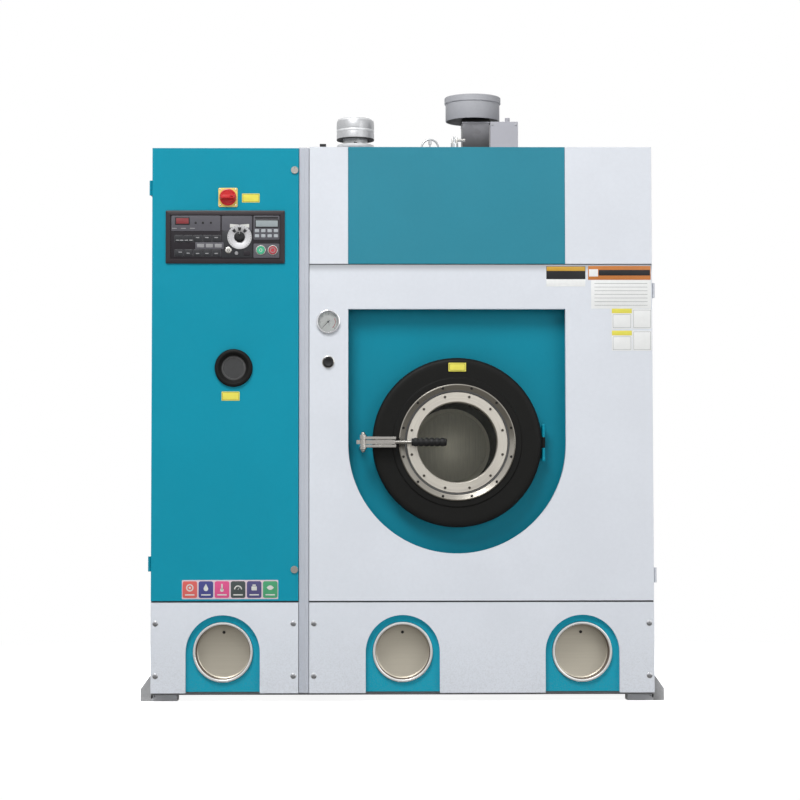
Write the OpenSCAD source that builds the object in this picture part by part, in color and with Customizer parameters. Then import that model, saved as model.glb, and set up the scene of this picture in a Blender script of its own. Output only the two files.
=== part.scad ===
// Dry cleaning machine: a closed cabinet with a round loading door, solvent tanks under the drum
// and a ventilation stack on its roof. Millimetres, +Z up, front towards -Y.
// The origin lies on the floor, at the middle of the four anchor holes.

/* [Cabinet] */
// Width over the side panels
cab_w = 1510; // [1400:5:1800]
// Depth from the front panels to the rear panel
cab_d = 1050; // [980:5:1300]
// Height of the top panel above the floor
cab_h = 1668; // [1640:2:1900]
// Height of the lower edge of the panels above the floor
panel_z = 27; // [24:1:34]
// Thickness of the sheet metal
sheet = 2; // [1.5:0.5:3]
// Depth of a folded door
door_fold = 24; // [18:1:30]
// Gap between neighbouring panels
seam = 2.5; // [1.5:0.5:5]
// Side of the square frame tube
tube = 40; // [30:5:45]
// Width of the control door column
control_w = 444; // [430:2:480]
// Width of the post between the columns
post_w = 30; // [24:2:40]
// Height of the seam above the lower panels
low_seam_z = 299; // [296:1:312]
// Height of the seam under the header
head_seam_z = 1312; // [1290:2:1360]

/* [Drum and door] */
// Distance of the drum axis from the middle of the cabinet
drum_x = 164; // [150:2:180]
// Height of the drum axis
drum_z = 775; // [765:1:800]
// Inner radius of the drum
drum_r = 340; // [280:1:350]
// Gap between the drum and the outer tub
tub_gap = 28; // [20:1:40]
// Depth of the drum inside
drum_len = 485; // [420:5:500]
// Inner radius of the loading mouth
mouth_r = 172; // [165:1:176]
// Outer radius of the black cover ring
cover_r = 255; // [240:1:262]
// Radius of the glass that shows
glass_r = 120; // [105:1:122]
// Depth of the recess around the loading door
recess_d = 60; // [54:1:70]
// Radius of the round end of the recess
recess_r = 327; // [318:1:335]
// Height of the centre of the round end
recess_z = 769; // [760:1:790]
// Height of the straight top edge of the recess
recess_top = 1177; // [1120:1:1240]
// Radius of the drum shaft
shaft_r = 30; // [25:1:35]

/* [Drive] */
// Groove radius of the drum pulley
big_pulley_r = 190; // [150:1:200]
// Groove radius of the motor pulley
small_pulley_r = 40; // [30:1:60]
// Width of both pulleys
pulley_w = 40; // [24:1:50]
// Thickness of the drive belt
belt_t = 8; // [5:0.5:10]
// Distance of the motor axis to the right of the drum axis
motor_dx = 316; // [290:2:330]
// Height of the motor axis
motor_z = 480; // [470:2:500]
// Radius of the motor
motor_r = 90; // [70:1:100]
// Radius of the fan impeller
fan_r = 120; // [90:1:125]

/* [Tanks] */
// Radius of the hatch ring of a tank
hatch_r = 89.5; // [80:0.5:91]
// Height of the hatch centres
hatch_z = 148; // [147:1:150]
// Distance of the outer hatches from the side panels
tank_side = 217; // [200:1:230]
// Radius of the arches in the lower panels
arch_r = 111; // [104:1:116]
// Width of a tank
tank_w = 400; // [300:5:410]
// Depth of a hatch lid behind the hatch ring
hatch_d = 60; // [30:1:62]

/* [Controls] */
// Width of the control console
console_w = 358; // [340:2:372]
// Height of the control console
console_h = 160; // [150:2:180]
// Height of the middle of the console
console_z = 1394; // [1380:2:1400]
// Distance of the console from the left side of the cabinet
console_x = 222; // [218:1:226]
// Height of the main switch
switch_z = 1514; // [1505:1:1530]
// Side of the main switch plate
switch_plate_w = 58; // [50:1:60]
// Radius of the switch knob
switch_r = 25.5; // [20:0.5:27]
// Radius of the push buttons
button_r = 12; // [9:0.5:13]
// Travel of the push buttons
button_travel = 3; // [2:0.5:4]
// Radial play of buttons in their bores
button_play = 0.3; // [0.3:0.05:0.5]
// Radial play of shafts in their bores
shaft_play = 0.06; // [0.02:0.01:0.09]
// Radius of the sight port in the control door
port_r = 57; // [50:1:62]
// Height of the sight port
port_z = 999; // [980:1:1010]
// Radius of the gauge flange
gauge_r = 36; // [30:1:38]
// Height of the gauge
gauge_z = 1138; // [1110:2:1160]
// Height of the release button
release_z = 1017; // [1000:1:1030]
// Distance of gauge and release button from the post
gauge_dx = 58; // [52:1:66]

/* [Roof] */
// Radius of the exhaust drum
exhaust_r = 85; // [70:1:95]
// Height of the exhaust drum's lid above the roof
exhaust_h = 202; // [180:2:240]
// Width of the exhaust duct
duct_w = 84; // [76:2:100]
// Radius of the air intake cowl
cowl_r = 59; // [50:1:66]
// Height of the air intake cowl above the roof
cowl_h = 141; // [120:1:170]

/* [Water pipes] */
// Outer radius of the water pipe stubs on the rear
pipe_r = 13.2; // [8:0.1:17]
// Length of the stubs behind their collars
pipe_out = 28; // [20:1:40]
// Height of the lower stub
pipe_z = 452; // [440:2:470]
// Height of the upper stub above the lower one
pipe_pitch = 80; // [60:2:100]

/* [Feet] */
// Distance between the anchor holes across the machine, beyond the cabinet width
anchor_out = 34; // [32:1:40]
// Distance between the anchor holes from front to back
anchor_y = 880; // [820:5:920]
// Radius of the anchor holes
anchor_hole_r = 7; // [5:0.5:8]

/* [Hidden] */
$fn = 64;

// Small running gap between pieces that move past each other
run_gap = 0.3;
// Gap between a lid or ring and the piece it stands before
seat_gap = 0.3;
// Amount that a cutting body passes a face
cut = 1;

// Main planes
half_w = cab_w / 2;
front_y = -cab_d / 2;
back_y = cab_d / 2;
fixed_fold = door_fold + 2;
body_y = front_y + fixed_fold;
door_back_y = front_y + door_fold;
roof_z = cab_h;
roof_under_z = roof_z - sheet;
frame_x = half_w - sheet;
rear_in_y = back_y - sheet;

// Levels of the frame
base_z0 = 20;
base_z1 = 55;
deck_z0 = low_seam_z - 3;
deck_z1 = deck_z0 + 44;

// Columns
post_x1 = -half_w + control_w + post_w;
post_x0 = -half_w + control_w;
post_mid = (post_x0 + post_x1) / 2;
door_x0 = -half_w + sheet;
door_x1 = post_x0 - seam / 2;
right_x0 = post_x1 + seam / 2;
right_x1 = half_w - sheet;
tank_pitch = half_w - tank_side;
low_z1 = low_seam_z - seam;
door_z0 = low_seam_z + seam;
door_z1 = roof_z - 4;
service_z1 = head_seam_z - seam / 2;
head_z0 = head_seam_z + seam / 2;

// Loading door and its recess
recess_y = front_y + recess_d;
recess_wall = 14;
ring_back_y = recess_y - 5;
ring_front_y = front_y - 5;
collar_r = mouth_r + 20;
collar_y = recess_y - 1;
tub_y0 = recess_y + 25;
tub_wall = 4;
drum_wall = 3;
tub_r = drum_r + drum_wall + tub_gap;
drum_y0 = tub_y0 + 12;
drum_y1 = drum_y0 + drum_wall + drum_len;
spider_t = 24;
tub_y1 = drum_y1 + drum_wall + spider_t + 6;
drum_mouth_r = mouth_r + 28;

// Drive
housing_y1 = tub_y1 + tub_wall + 230;
pulley_y0 = housing_y1 + 15;
pulley_y1 = pulley_y0 + pulley_w;
shaft_end_y = pulley_y1 + 15;
motor_x = drum_x + motor_dx;
motor_y0 = tub_y1 + tub_wall + 16;
motor_y1 = pulley_y0 - 10;
motor_shaft_r = 12;
bearing_w = 30;
bearing_r = shaft_r + 25;
beam_front_y = tub_y0 + 140;
beam_back_y = tub_y1 - 13;
plate_t = 8;

// Loading door hinge, handle and hinges of the sheet doors
hinge_x = drum_x + cover_r + 6;
hinge_y = front_y + 20;
hinge_pin_r = 3;
hinge_knuckle_r = 5;
hinge_h = 96;
handle_x = drum_x - cover_r - 27;
handle_y = front_y - 36;
handle_pin_r = 5;
knuckle_r = 4.5;
leaf_pin_r = 2.5;
leaf_x = half_w + 3;
leaf_y = front_y + door_fold / 2;
leaf_h = 45;
pipe_x = half_w - 113;
pipe_nut = 7;
clamp_bolt_r = 141;
rim_bolt_r = 167;
cover_in_r = rim_bolt_r + 8.5;
clamp_r = 152.5;
bolt_count = 12;
bolt_turn = 15;

// Console
console_cx = -half_w + console_x;
dial_x = console_cx + 43;
button_z = console_z - 40;
start_x = console_cx + 107;
stop_x = console_cx + 143;
console_front = front_y - 6;
button_out = 6;
lock_x = door_x1 - 12;
lock_zs = [door_z0 + 93.5, door_z1 - 67];
lock_arm_l = 24;
lock_arm_w = 10;
lock_arm_t = 3;
lock_arm_y = front_y + 14;
gauge_x = post_x1 + gauge_dx;
release_r = 16;

// Roof
stack_x = drum_x + 62;
stack_y = front_y + 300;
duct_x = stack_x + 8;
duct_half_d = 60;
duct_t = 3;
drum_h = 75;
drum_z0 = roof_z + exhaust_h - drum_h;
box_x0 = duct_x + duct_w / 2 + 2;
box_y0 = front_y + 200;
box_w = 84;
cowl_x = drum_x - 307;

// Ventilation slots of the side and rear panels
slot_pitch = 34;
slot_w = 10;
slot_l = 120;

// Hatches and the jambs of their arches
hatch_y = front_y + 7;
hatch_rim = 7.5;
hatch_t = 12;
jamb_y = front_y + 18;

// Controls that stand beside the middle of the console
switch_x = console_cx + 8;
port_x = console_cx + 26;
port_in_r = port_r - 20;
port_seat_r = port_r - 13;
console_rim = 15;
console_face = console_front + 4;

// Feet
foot_half_w = 35;
foot_in = 78;
foot_h = 74;
foot_t = 5;

// A box between two corners given as ranges
module span(x, y, z) {
    translate([x[0], y[0], z[0]])
        cube([x[1] - x[0], y[1] - y[0], z[1] - z[0]]);
}

// A cylinder along Y between two depths
module ycyl(x, z, y0, y1, r) {
    translate([x, y0, z])
        rotate([-90, 0, 0])
            cylinder(r = r, h = y1 - y0);
}

// A tube along Y
module ytube(x, z, y0, y1, r_out, r_in) {
    difference() {
        ycyl(x, z, y0, y1, r_out);
        ycyl(x, z, y0 - cut, y1 + cut, r_in);
    }
}

// A standing cylinder
module zcyl(x, y, z0, z1, r) {
    translate([x, y, z0])
        cylinder(r = r, h = z1 - z0);
}

// A solid of revolution about an axis along Y, from points of radius and depth
module yturn(x, z, points) {
    translate([x, 0, z])
        rotate([-90, 0, 0])
            rotate_extrude($fn = 96)
                polygon(points);
}

// A folded panel with its face at the front and its rim turned back
module tray(x, z, depth) {
    difference() {
        span(x, [front_y, front_y + depth], z);
        span([x[0] + sheet, x[1] - sheet], [front_y + sheet, front_y + depth + cut],
            [z[0] + sheet, z[1] - sheet]);
    }
}

// An outline in the XZ plane, extruded between two depths
module xz_plate(y0, y1) {
    translate([0, y1, 0])
        rotate([90, 0, 0])
            linear_extrude(y1 - y0)
                children();
}

// Places a child at each hatch
module at_tanks() {
    for (i = [-1, 0, 1])
        translate([i * tank_pitch, 0, 0])
            children();
}

// Places a child at all four corners of the anchor pattern, mirrored left and right
module at_feet() {
    for (side = [0, 1], end = [-1, 1])
        mirror([side, 0, 0])
            translate([0, end * anchor_y / 2, 0])
                children();
}

module base_frame() {
    rail_xs = [-frame_x + tube / 2, post_mid, tank_pitch / 2, frame_x - tube / 2];
    color("dimgray")
        difference() {
            span([-frame_x, frame_x], [body_y, rear_in_y], [base_z0, base_z1]);
            for (i = [0 : len(rail_xs) - 2])
                span([rail_xs[i] + tube / 2, rail_xs[i + 1] - tube / 2], [body_y + tube, rear_in_y - tube],
                    [base_z0 - cut, base_z1 + cut]);
        }
}

module anchor_feet() {
    hole_x = half_w + anchor_out / 2;
    y = [-foot_half_w, foot_half_w];
    toe_x = -half_w - anchor_out + 2;
    wall_x = -half_w - foot_t;
    heel_x = -half_w + foot_in;
    color("gray")
        at_feet() {
            difference() {
                union() {
                    span([toe_x, heel_x], y, [0, plate_t]);
                    span([-half_w + 5, heel_x], y, [plate_t, base_z0]);
                    span([wall_x, -half_w - seat_gap], y, [plate_t, foot_h]);
                    for (gusset_y = [-foot_half_w, foot_half_w - foot_t])
                        translate([0, gusset_y, 0])
                            xz_plate(0, foot_t)
                                polygon([[wall_x, plate_t], [toe_x, plate_t], [toe_x, foot_h / 2 - 1],
                                    [wall_x, foot_h]]);
                }
                zcyl(-hole_x, 0, -cut, plate_t + cut, anchor_hole_r);
                span([-half_w + 8, -half_w + 11], [y[0] - cut, y[1] + cut], [plate_t + 3, base_z0 - 2]);
            }
        }
}

// A rectangle of deck rails between two heights
module rails(z0, z1) {
    difference() {
        span([-frame_x, frame_x], [body_y, rear_in_y], [z0, z1]);
        span([-frame_x + tube, frame_x - tube], [body_y + tube, rear_in_y - tube], [z0 - cut, z1 + cut]);
    }
}

module cabinet_frame() {
    post_ys = [[body_y, body_y + tube], [rear_in_y - tube, rear_in_y]];
    color("slategray") {
        for (y = post_ys) {
            span([-frame_x, -frame_x + tube], y, [base_z1, roof_under_z]);
            span([frame_x - tube, frame_x], y, [base_z1, roof_under_z]);
            span([post_mid - tube / 2, post_mid + tube / 2], y, [base_z1, roof_under_z]);
        }
        rails(deck_z0, deck_z1);
        rails(roof_under_z - tube, roof_under_z);
        span([post_mid, frame_x], post_ys[0], [head_seam_z - tube / 2, head_seam_z + tube / 2]);
        for (y = [beam_front_y, beam_back_y])
            span([-frame_x, frame_x], [y - tube / 2, y + tube / 2], [deck_z0, deck_z1]);
    }
}

// A row of ventilation slots: the first one's ranges, and the step to the next
module slots(x, y, z, step, count) {
    for (i = [0 : count - 1])
        translate(i * step)
            span(x, y, z);
}

module side_panels() {
    y = [120, 120 + slot_w];
    color("gainsboro")
        for (side = [0, 1])
            mirror([side, 0, 0])
                difference() {
                    span([frame_x, half_w], [body_y, rear_in_y], [panel_z, roof_under_z]);
                    for (z0 = [roof_z - 268, deck_z1 + 90])
                        slots([frame_x - cut, half_w + cut], y, [z0, z0 + slot_l], [0, slot_pitch, 0], 8);
                }
}

module rear_panel() {
    y = [rear_in_y - cut, back_y + cut];
    up = [0, 0, slot_pitch];
    drive_z = drum_z - 150;
    bay_z = roof_z - 330;
    color("gainsboro")
        difference() {
            span([-half_w, half_w], [rear_in_y, back_y], [panel_z, roof_under_z]);
            slots([drum_x - big_pulley_r, drum_x + big_pulley_r], y, [drive_z, drive_z + slot_w], up, 10);
            slots([-half_w + 130, -half_w + 330], y, [bay_z, bay_z + slot_w], up, 6);
            for (z = [pipe_z, pipe_z + pipe_pitch])
                ycyl(pipe_x, z, y[0], y[1], pipe_r + 1);
        }
}

module roof_panel() {
    color("gainsboro")
        difference() {
            span([-half_w, half_w], [body_y, back_y], [roof_under_z, roof_z]);
            duct_bore([roof_under_z - cut, roof_z + cut]);
            zcyl(cowl_x, stack_y, roof_under_z - cut, roof_z + cut, cowl_r - 25);
        }
}

// The room that the arm of a quarter-turn lock needs, between two positions across the machine
module lock_pocket(x, z) {
    span(x, [lock_arm_y - 1, lock_arm_y + lock_arm_t + 1], [z - lock_arm_w / 2 - 3, z + lock_arm_l + 2]);
}

module centre_post() {
    color("silver")
        difference() {
            translate([0, 0, panel_z])
                linear_extrude(roof_under_z - panel_z - 1)
                    polygon([[post_x0, front_y + 5], [post_mid, front_y + 2], [post_mid + 2, front_y],
                        [post_x1, front_y], [post_x1, body_y], [post_x0, body_y]]);
            for (z = lock_zs)
                lock_pocket([post_x0 - cut, lock_x + lock_arm_l + 2], z);
        }
}

module header_panel() {
    z = [head_z0, roof_z];
    color("gainsboro") {
        tray([right_x0, drum_x - recess_r - seat_gap], z, fixed_fold);
        tray([drum_x + recess_r + seat_gap, right_x1], z, fixed_fold);
    }
}

module header_insert() {
    color("cadetblue")
        tray([drum_x - recess_r, drum_x + recess_r], [head_z0, roof_z], fixed_fold);
}

// The outline of an arch with straight sides that run down past the panels
module arch(r) {
    translate([0, hatch_z]) {
        circle(r = r);
        translate([-r, -hatch_z])
            square([2 * r, hatch_z]);
    }
}

module lower_panels() {
    color("gainsboro")
        difference() {
            union() {
                tray([door_x0, door_x1], [panel_z, low_z1], fixed_fold);
                tray([right_x0, right_x1], [panel_z, low_z1], fixed_fold);
                intersection() {
                    at_tanks()
                        xz_plate(front_y + sheet / 2, jamb_y)
                            arch(arch_r + sheet);
                    span([-half_w, half_w], [front_y, jamb_y], [panel_z, low_z1]);
                }
            }
            at_tanks()
                xz_plate(front_y - cut, body_y + cut)
                    arch(arch_r);
            for (p = screw_places())
                ycyl(p[0], p[1], front_y - cut, front_y + 4, 3.2);
        }
}

module arch_plates() {
    color("teal")
        at_tanks()
            intersection() {
                xz_plate(jamb_y, jamb_y + sheet)
                    difference() {
                        arch(arch_r + 8);
                        translate([0, hatch_z])
                            circle(r = hatch_r + 1);
                    }
                span([-arch_r - 10, arch_r + 10], [jamb_y - cut, jamb_y + sheet + cut],
                    [panel_z + sheet + 1, low_z1 - sheet - 1]);
            }
}

// Places of the screws that hold the lower panels
function screw_places() = [
    for (x = [door_x0 + 14, door_x1 - 15, right_x0 + 14, right_x1 - 15], z = [78, 234]) [x, z]
];

module panel_screws() {
    color("silver")
        for (p = screw_places()) {
            ycyl(p[0], p[1], front_y - 3, front_y, 8.5);
            ycyl(p[0], p[1], front_y - 0.5, front_y + 12, 3);
        }
}

module recess_panel() {
    x = [drum_x - recess_r - recess_wall, drum_x + recess_r + recess_wall];
    z = [recess_z - recess_r - recess_wall, recess_top + recess_wall];
    color("teal")
        difference() {
            span(x, [door_back_y + seat_gap + 1, recess_y + sheet], z);
            span(inset(x, sheet), [front_y, recess_y], inset(z, sheet));
            ycyl(drum_x, drum_z, recess_y - cut, recess_y + sheet + cut, collar_r + 8);
        }
    color("teal") {
        span([post_mid + tube / 2, x[0] + 1], [body_y, body_y + sheet], [z[0] + 40, release_z - 60]);
        span([x[1] - 1, frame_x - tube], [body_y, body_y + sheet], [z[0] + 40, z[1]]);
        span(x, [body_y, body_y + sheet], [z[1] - 1, head_seam_z - tube / 2]);
    }
}

module tank_hatches() {
    lid_y = hatch_y + hatch_d;
    in_r = hatch_r - hatch_rim;
    color("silver")
        at_tanks()
            difference() {
                ycyl(0, hatch_z, hatch_y, lid_y + hatch_t, hatch_r);
                ycyl(0, hatch_z, hatch_y - cut, lid_y, in_r);
                ycyl(0, hatch_z + in_r - 25, lid_y - cut, lid_y + 4, 4);
            }
}

module solvent_tanks() {
    wall = 3;
    x = [-tank_w / 2, tank_w / 2];
    y = [hatch_y + hatch_d + hatch_t, rear_in_y - tube - 10];
    z = [base_z1, deck_z0 - 4];
    color("lightsteelblue")
        at_tanks()
            difference() {
                span(x, y, z);
                span([x[0] + wall, x[1] - wall], [y[0] + wall, y[1] - wall], [z[0] + wall, z[1] - wall]);
            }
}

module outer_tub() {
    out_r = tub_r + tub_wall;
    color("lightgray")
        difference() {
            union() {
                ycyl(drum_x, drum_z, tub_y0, tub_y1 + tub_wall, out_r);
                ycyl(drum_x, drum_z, collar_y, tub_y0 + 1, collar_r);
                for (y = [beam_front_y, beam_back_y])
                    span([drum_x - 200, drum_x + 200], [y - 6, y + 6], [deck_z1, drum_z - 180]);
            }
            ycyl(drum_x, drum_z, tub_y0 + tub_wall, tub_y1, tub_r);
            ycyl(drum_x, drum_z, collar_y - cut, tub_y0 + tub_wall + cut, mouth_r);
            ycyl(drum_x, drum_z, tub_y1 - cut, tub_y1 + tub_wall + cut, shaft_r + 8);
        }
}

module bearing_housing() {
    y0 = tub_y1 + tub_wall;
    color("slategray")
        difference() {
            union() {
                ycyl(drum_x, drum_z, y0, housing_y1, bearing_r + 30);
                ycyl(drum_x, drum_z, y0, y0 + 14, bearing_r + 90);
                for (a = [0 : 45 : 315])
                    translate([drum_x, 0, drum_z])
                        rotate([0, a, 0])
                            translate([-6, y0, bearing_r + 20])
                                cube([12, 60, 60]);
            }
            ycyl(drum_x, drum_z, y0 - cut, housing_y1 + cut, bearing_r);
        }
}

module drum_bearings() {
    color("gray")
        for (y = [tub_y1 + tub_wall + 20, housing_y1 - bearing_w - 5])
            difference() {
                ycyl(drum_x, drum_z, y, y + bearing_w, bearing_r);
                ycyl(drum_x, drum_z, y - cut, y + bearing_w + cut, shaft_r + shaft_play);
            }
}

module drive_motor() {
    color("steelblue")
        difference() {
            union() {
                ycyl(motor_x, motor_z, motor_y0, motor_y1, motor_r);
                ycyl(motor_x, motor_z, motor_y1 - cut, motor_y1 + 6, 40);
                span([motor_x - 60, motor_x + 60], [motor_y0 + 20, motor_y1 - 20], [deck_z1 + 2, motor_z]);
                span([motor_x - 62, motor_x + 85], [beam_back_y + 2, rear_in_y - 4],
                    [deck_z1, deck_z1 + plate_t]);
                span([motor_x - 35, motor_x + 35], [motor_y0 + 40, motor_y0 + 110],
                    [motor_z, motor_z + motor_r + 34]);
            }
            ycyl(motor_x, motor_z, motor_y1 - 50, motor_y1 + 7, motor_shaft_r + shaft_play);
        }
}

// The outline round two circles that share their outer tangents
module belt_outline(r1, r2) {
    dx = motor_x - drum_x;
    dz = motor_z - drum_z;
    dist = norm([dx, dz]);
    turn = atan2(dz, dx);
    lean = acos((r1 - r2) / dist);
    function rim(c, r, a) = [c[0] + r * cos(a), c[1] + r * sin(a)];
    translate([drum_x, drum_z])
        circle(r = r1, $fn = 96);
    translate([motor_x, motor_z])
        circle(r = r2);
    polygon([rim([drum_x, drum_z], r1, turn + lean), rim([motor_x, motor_z], r2, turn + lean),
        rim([motor_x, motor_z], r2, turn - lean), rim([drum_x, drum_z], r1, turn - lean)]);
}

module drive_belt() {
    y0 = pulley_y0 + 8;
    y1 = pulley_y1 - 8;
    color("black")
        xz_plate(y0, y1)
            difference() {
                belt_outline(big_pulley_r + run_gap + belt_t, small_pulley_r + run_gap + belt_t);
                belt_outline(big_pulley_r + run_gap, small_pulley_r + run_gap);
            }
}

module pump_set() {
    pump_x = drum_x - 274;
    pump_z = deck_z1 + 58;
    color("royalblue") {
        span([pump_x - 60, pump_x + 60], [beam_front_y - 18, beam_back_y + 18], [deck_z1, deck_z1 + 6]);
        span([pump_x - 30, pump_x + 30], [beam_front_y + 60, beam_front_y + 260], [deck_z1 + 5, pump_z]);
        ycyl(pump_x, pump_z, beam_front_y + 60, beam_front_y + 280, 48);
        ycyl(pump_x, pump_z, beam_front_y + 10, beam_front_y + 61, 58);
    }
    color("silver")
        difference() {
            span([drum_x - 100, drum_x + 100], [beam_front_y + 120, beam_back_y - 40], [deck_z0 + 4, drum_z]);
            ycyl(drum_x, drum_z, beam_front_y, beam_back_y, tub_r + tub_wall + seat_gap);
        }
}

// A standing vessel with domed ends on a base plate
module vessel(x, y, z0, z1, r) {
    dome = r * 0.3;
    translate([x, y, 0])
        rotate_extrude()
            polygon([[0, z0], [r * 0.6, z0], [r * 0.6, z0 + 30], [r * 0.85, z0 + 45], [r, z0 + 45 + dome],
                [r, z1 - dome], [r * 0.92, z1 - dome * 0.6], [r * 0.7, z1 - dome * 0.25],
                [r * 0.35, z1], [0, z1]]);
}

module solvent_filter() {
    x = console_cx;
    y = (beam_back_y + rear_in_y) / 2 + 24;
    color("lightgray") {
        vessel(x, y, deck_z1 + plate_t, 1000, 110);
        span([x - 120, x + 120], [beam_back_y + 1, rear_in_y - 4], [deck_z1, deck_z1 + plate_t]);
        zcyl(x, y, 990, 1040, 26);
        ytube(x, 900, y + 100, y + 135, 22, 14);
    }
}

module still_vessel() {
    x = console_cx + 28;
    y = front_y + 465;
    r = 165;
    color("silver")
        difference() {
            union() {
                vessel(x, y, deck_z1 + plate_t, 1096, r);
                span([x - 150, x + 150], [beam_front_y - 18, beam_back_y - 1], [deck_z1, deck_z1 + plate_t]);
                ycyl(x, port_z, front_y + 48, y, port_seat_r);
                ycyl(x, port_z, front_y + 46, front_y + 60, port_seat_r + 10);
                ycyl(x, 560, front_y + 240, y, 110);
            }
            ycyl(x, port_z, front_y + 45, front_y + 320, port_in_r - 1);
            ycyl(x, 560, front_y + 239, front_y + 252, 90);
        }
}

// Duct above the tub and the middle of the fan on its right
duct_z0 = drum_z + tub_r + tub_wall + 30;
duct_z1 = duct_z0 + 220;
duct_wall = 3;
fan_x = drum_x + 396;
fan_z = duct_z0 + 150;
fan_y1 = beam_back_y - 20;
fan_y0 = fan_y1 - 160;

module air_duct() {
    wall = duct_wall;
    x = [drum_x - 404, drum_x + 256];
    y = [fan_y0 - 40, fan_y1 + 40];
    z = [duct_z0, duct_z1];
    color("silver")
        difference() {
            union() {
                span(x, y, z);
                span([drum_x - 100, drum_x + 100], [fan_y0, fan_y1], [drum_z + tub_r - 71, z[0] + 1]);
                ycyl(fan_x, fan_z, fan_y0, fan_y1, fan_r + 30);
                span([x[1] - cut, fan_x], [fan_y0 + 20, fan_y1 - 20], [z[0] + 20, fan_z]);
                ycyl(fan_x, fan_z, fan_y1 - cut, fan_y1 + 120, 60);
            }
            span([x[0] + wall, x[1] - wall], [y[0] + wall, y[1] - wall], [z[0] + wall, z[1] - wall]);
            span([drum_x - 97, drum_x + 97], [fan_y0 + wall, fan_y1 - wall], [drum_z, z[0] + 5]);
            span([x[1] - 5, fan_x], [fan_y0 + 23, fan_y1 - 23], [z[0] + 23, fan_z - wall]);
            ycyl(fan_x, fan_z, fan_y0 + wall, fan_y1 - wall, fan_r + 27);
            ycyl(fan_x, fan_z, fan_y0 - cut, fan_y0 + wall + cut, fan_r - 40);
            ycyl(fan_x, fan_z, fan_y1 - wall - cut, fan_y1 + 70, 8 + shaft_play);
            ycyl(drum_x, drum_z, y[0], y[1], tub_r + tub_wall + seat_gap);
        }
}

module fan_impeller() {
    y1 = fan_y1 - 12;
    color("gray") {
        ycyl(fan_x, fan_z, y1 - 4, y1, fan_r);
        ycyl(fan_x, fan_z, y1 - 60, y1 + 1, 22);
        ycyl(fan_x, fan_z, y1, fan_y1 + 60, 8);
        for (a = [0 : 30 : 330])
            translate([fan_x, 0, fan_z])
                rotate([0, a, 0])
                    translate([fan_r - 45, y1 - 74, -1.5])
                        cube([42, 71, 3]);
    }
}

module refrigeration_set() {
    y = (beam_back_y + rear_in_y) / 2;
    color("dimgray") {
        span([pipe_x - 62, frame_x - tube - 1], [beam_back_y + 2, rear_in_y - 4],
            [deck_z1, deck_z1 + plate_t]);
        vessel(pipe_x, y, deck_z1 + plate_t, deck_z1 + 330, 66);
        for (z = [pipe_z, pipe_z + pipe_pitch])
            difference() {
                union() {
                    ycyl(pipe_x, z, y, back_y + pipe_nut, pipe_r - 0.5);
                    ycyl(pipe_x, z, back_y + seat_gap, back_y + pipe_nut, pipe_r + 6);
                    ycyl(pipe_x, z, back_y + pipe_nut - cut, back_y + pipe_nut + pipe_out, pipe_r);
                }
                ycyl(pipe_x, z, back_y - 60, back_y + pipe_nut + pipe_out + cut, pipe_r - 3);
            }
    }
    color("peru")
        for (i = [0 : 11])
            span([drum_x - 360 + 14 * i, drum_x - 350 + 14 * i], [fan_y0 - 36, fan_y1 + 36],
                [duct_z0 + duct_wall + seat_gap, duct_z1 - duct_wall - seat_gap]);
}

module control_backplate() {
    x = [-frame_x + tube, post_mid - tube / 2];
    y = front_y + 195;
    z = [door_z1 - 514, door_z1 - 64];
    color("lightgray")
        difference() {
            span(x, [body_y + tube, y + 3], z);
            span([x[0] + 3, x[1] - 3], [front_y, y], [z[0] - cut, z[1] + cut]);
        }
    color("black")
        for (i = [0 : 5])
            span([x[0] + 30 + 55 * i, x[0] + 76 + 55 * i], [y - 78, y], [z[1] - 130, z[1] - 45]);
    color("orange")
        span([x[0] + 40, x[1] - 40], [y - 90, y], [z[0] + 60, z[0] + 230]);
}

module exhaust_drum() {
    z1 = roof_z + exhaust_h;
    lid_r = exhaust_r + 3.5;
    lid_h = 20;
    wall = 4;
    color("silver")
        translate([stack_x, stack_y, 0])
            rotate_extrude($fn = 96)
                polygon([[0, drum_z0 + duct_t], [exhaust_r - wall, drum_z0 + duct_t],
                    [exhaust_r - wall, drum_z0], [exhaust_r, drum_z0], [exhaust_r, z1 - lid_h],
                    [lid_r, z1 - lid_h], [lid_r, z1 - 2], [lid_r - 2, z1], [0, z1]]);
}

// The inside of the exhaust duct between two heights
module duct_bore(z) {
    w = duct_w / 2 - duct_t;
    d = duct_half_d - duct_t;
    span([duct_x - w, duct_x + w], [stack_y - d, stack_y + d], z);
}

module exhaust_duct() {
    z1 = drum_z0 + duct_t;
    x = [duct_x - duct_w / 2, duct_x + duct_w / 2];
    flange = 14;
    color("dimgray")
        difference() {
            union() {
                span(x, [stack_y - duct_half_d, stack_y + duct_half_d], [roof_z, z1]);
                span([x[0] - flange, x[1]],
                    [stack_y - duct_half_d - flange, stack_y + duct_half_d + flange], [roof_z, roof_z + 3]);
            }
            duct_bore([roof_z - cut, z1 - 4]);
        }
}

module junction_box() {
    lid_t = 3;
    h = 110;
    gland = [box_x0 + 54, box_y0 + 36];
    color("lightgray")
        difference() {
            union() {
                span([box_x0, box_x0 + box_w], [box_y0 + lid_t, box_y0 + 70], [roof_z, roof_z + h]);
                span([box_x0 - 1, box_x0 + box_w + 1], [box_y0, box_y0 + lid_t], [roof_z, roof_z + h + 1]);
                zcyl(gland[0], gland[1], roof_z + h - 1, roof_z + h + 18, 7.5);
            }
            zcyl(gland[0], gland[1], roof_z + h - 10, roof_z + h + 19, 5);
        }
}

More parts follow.
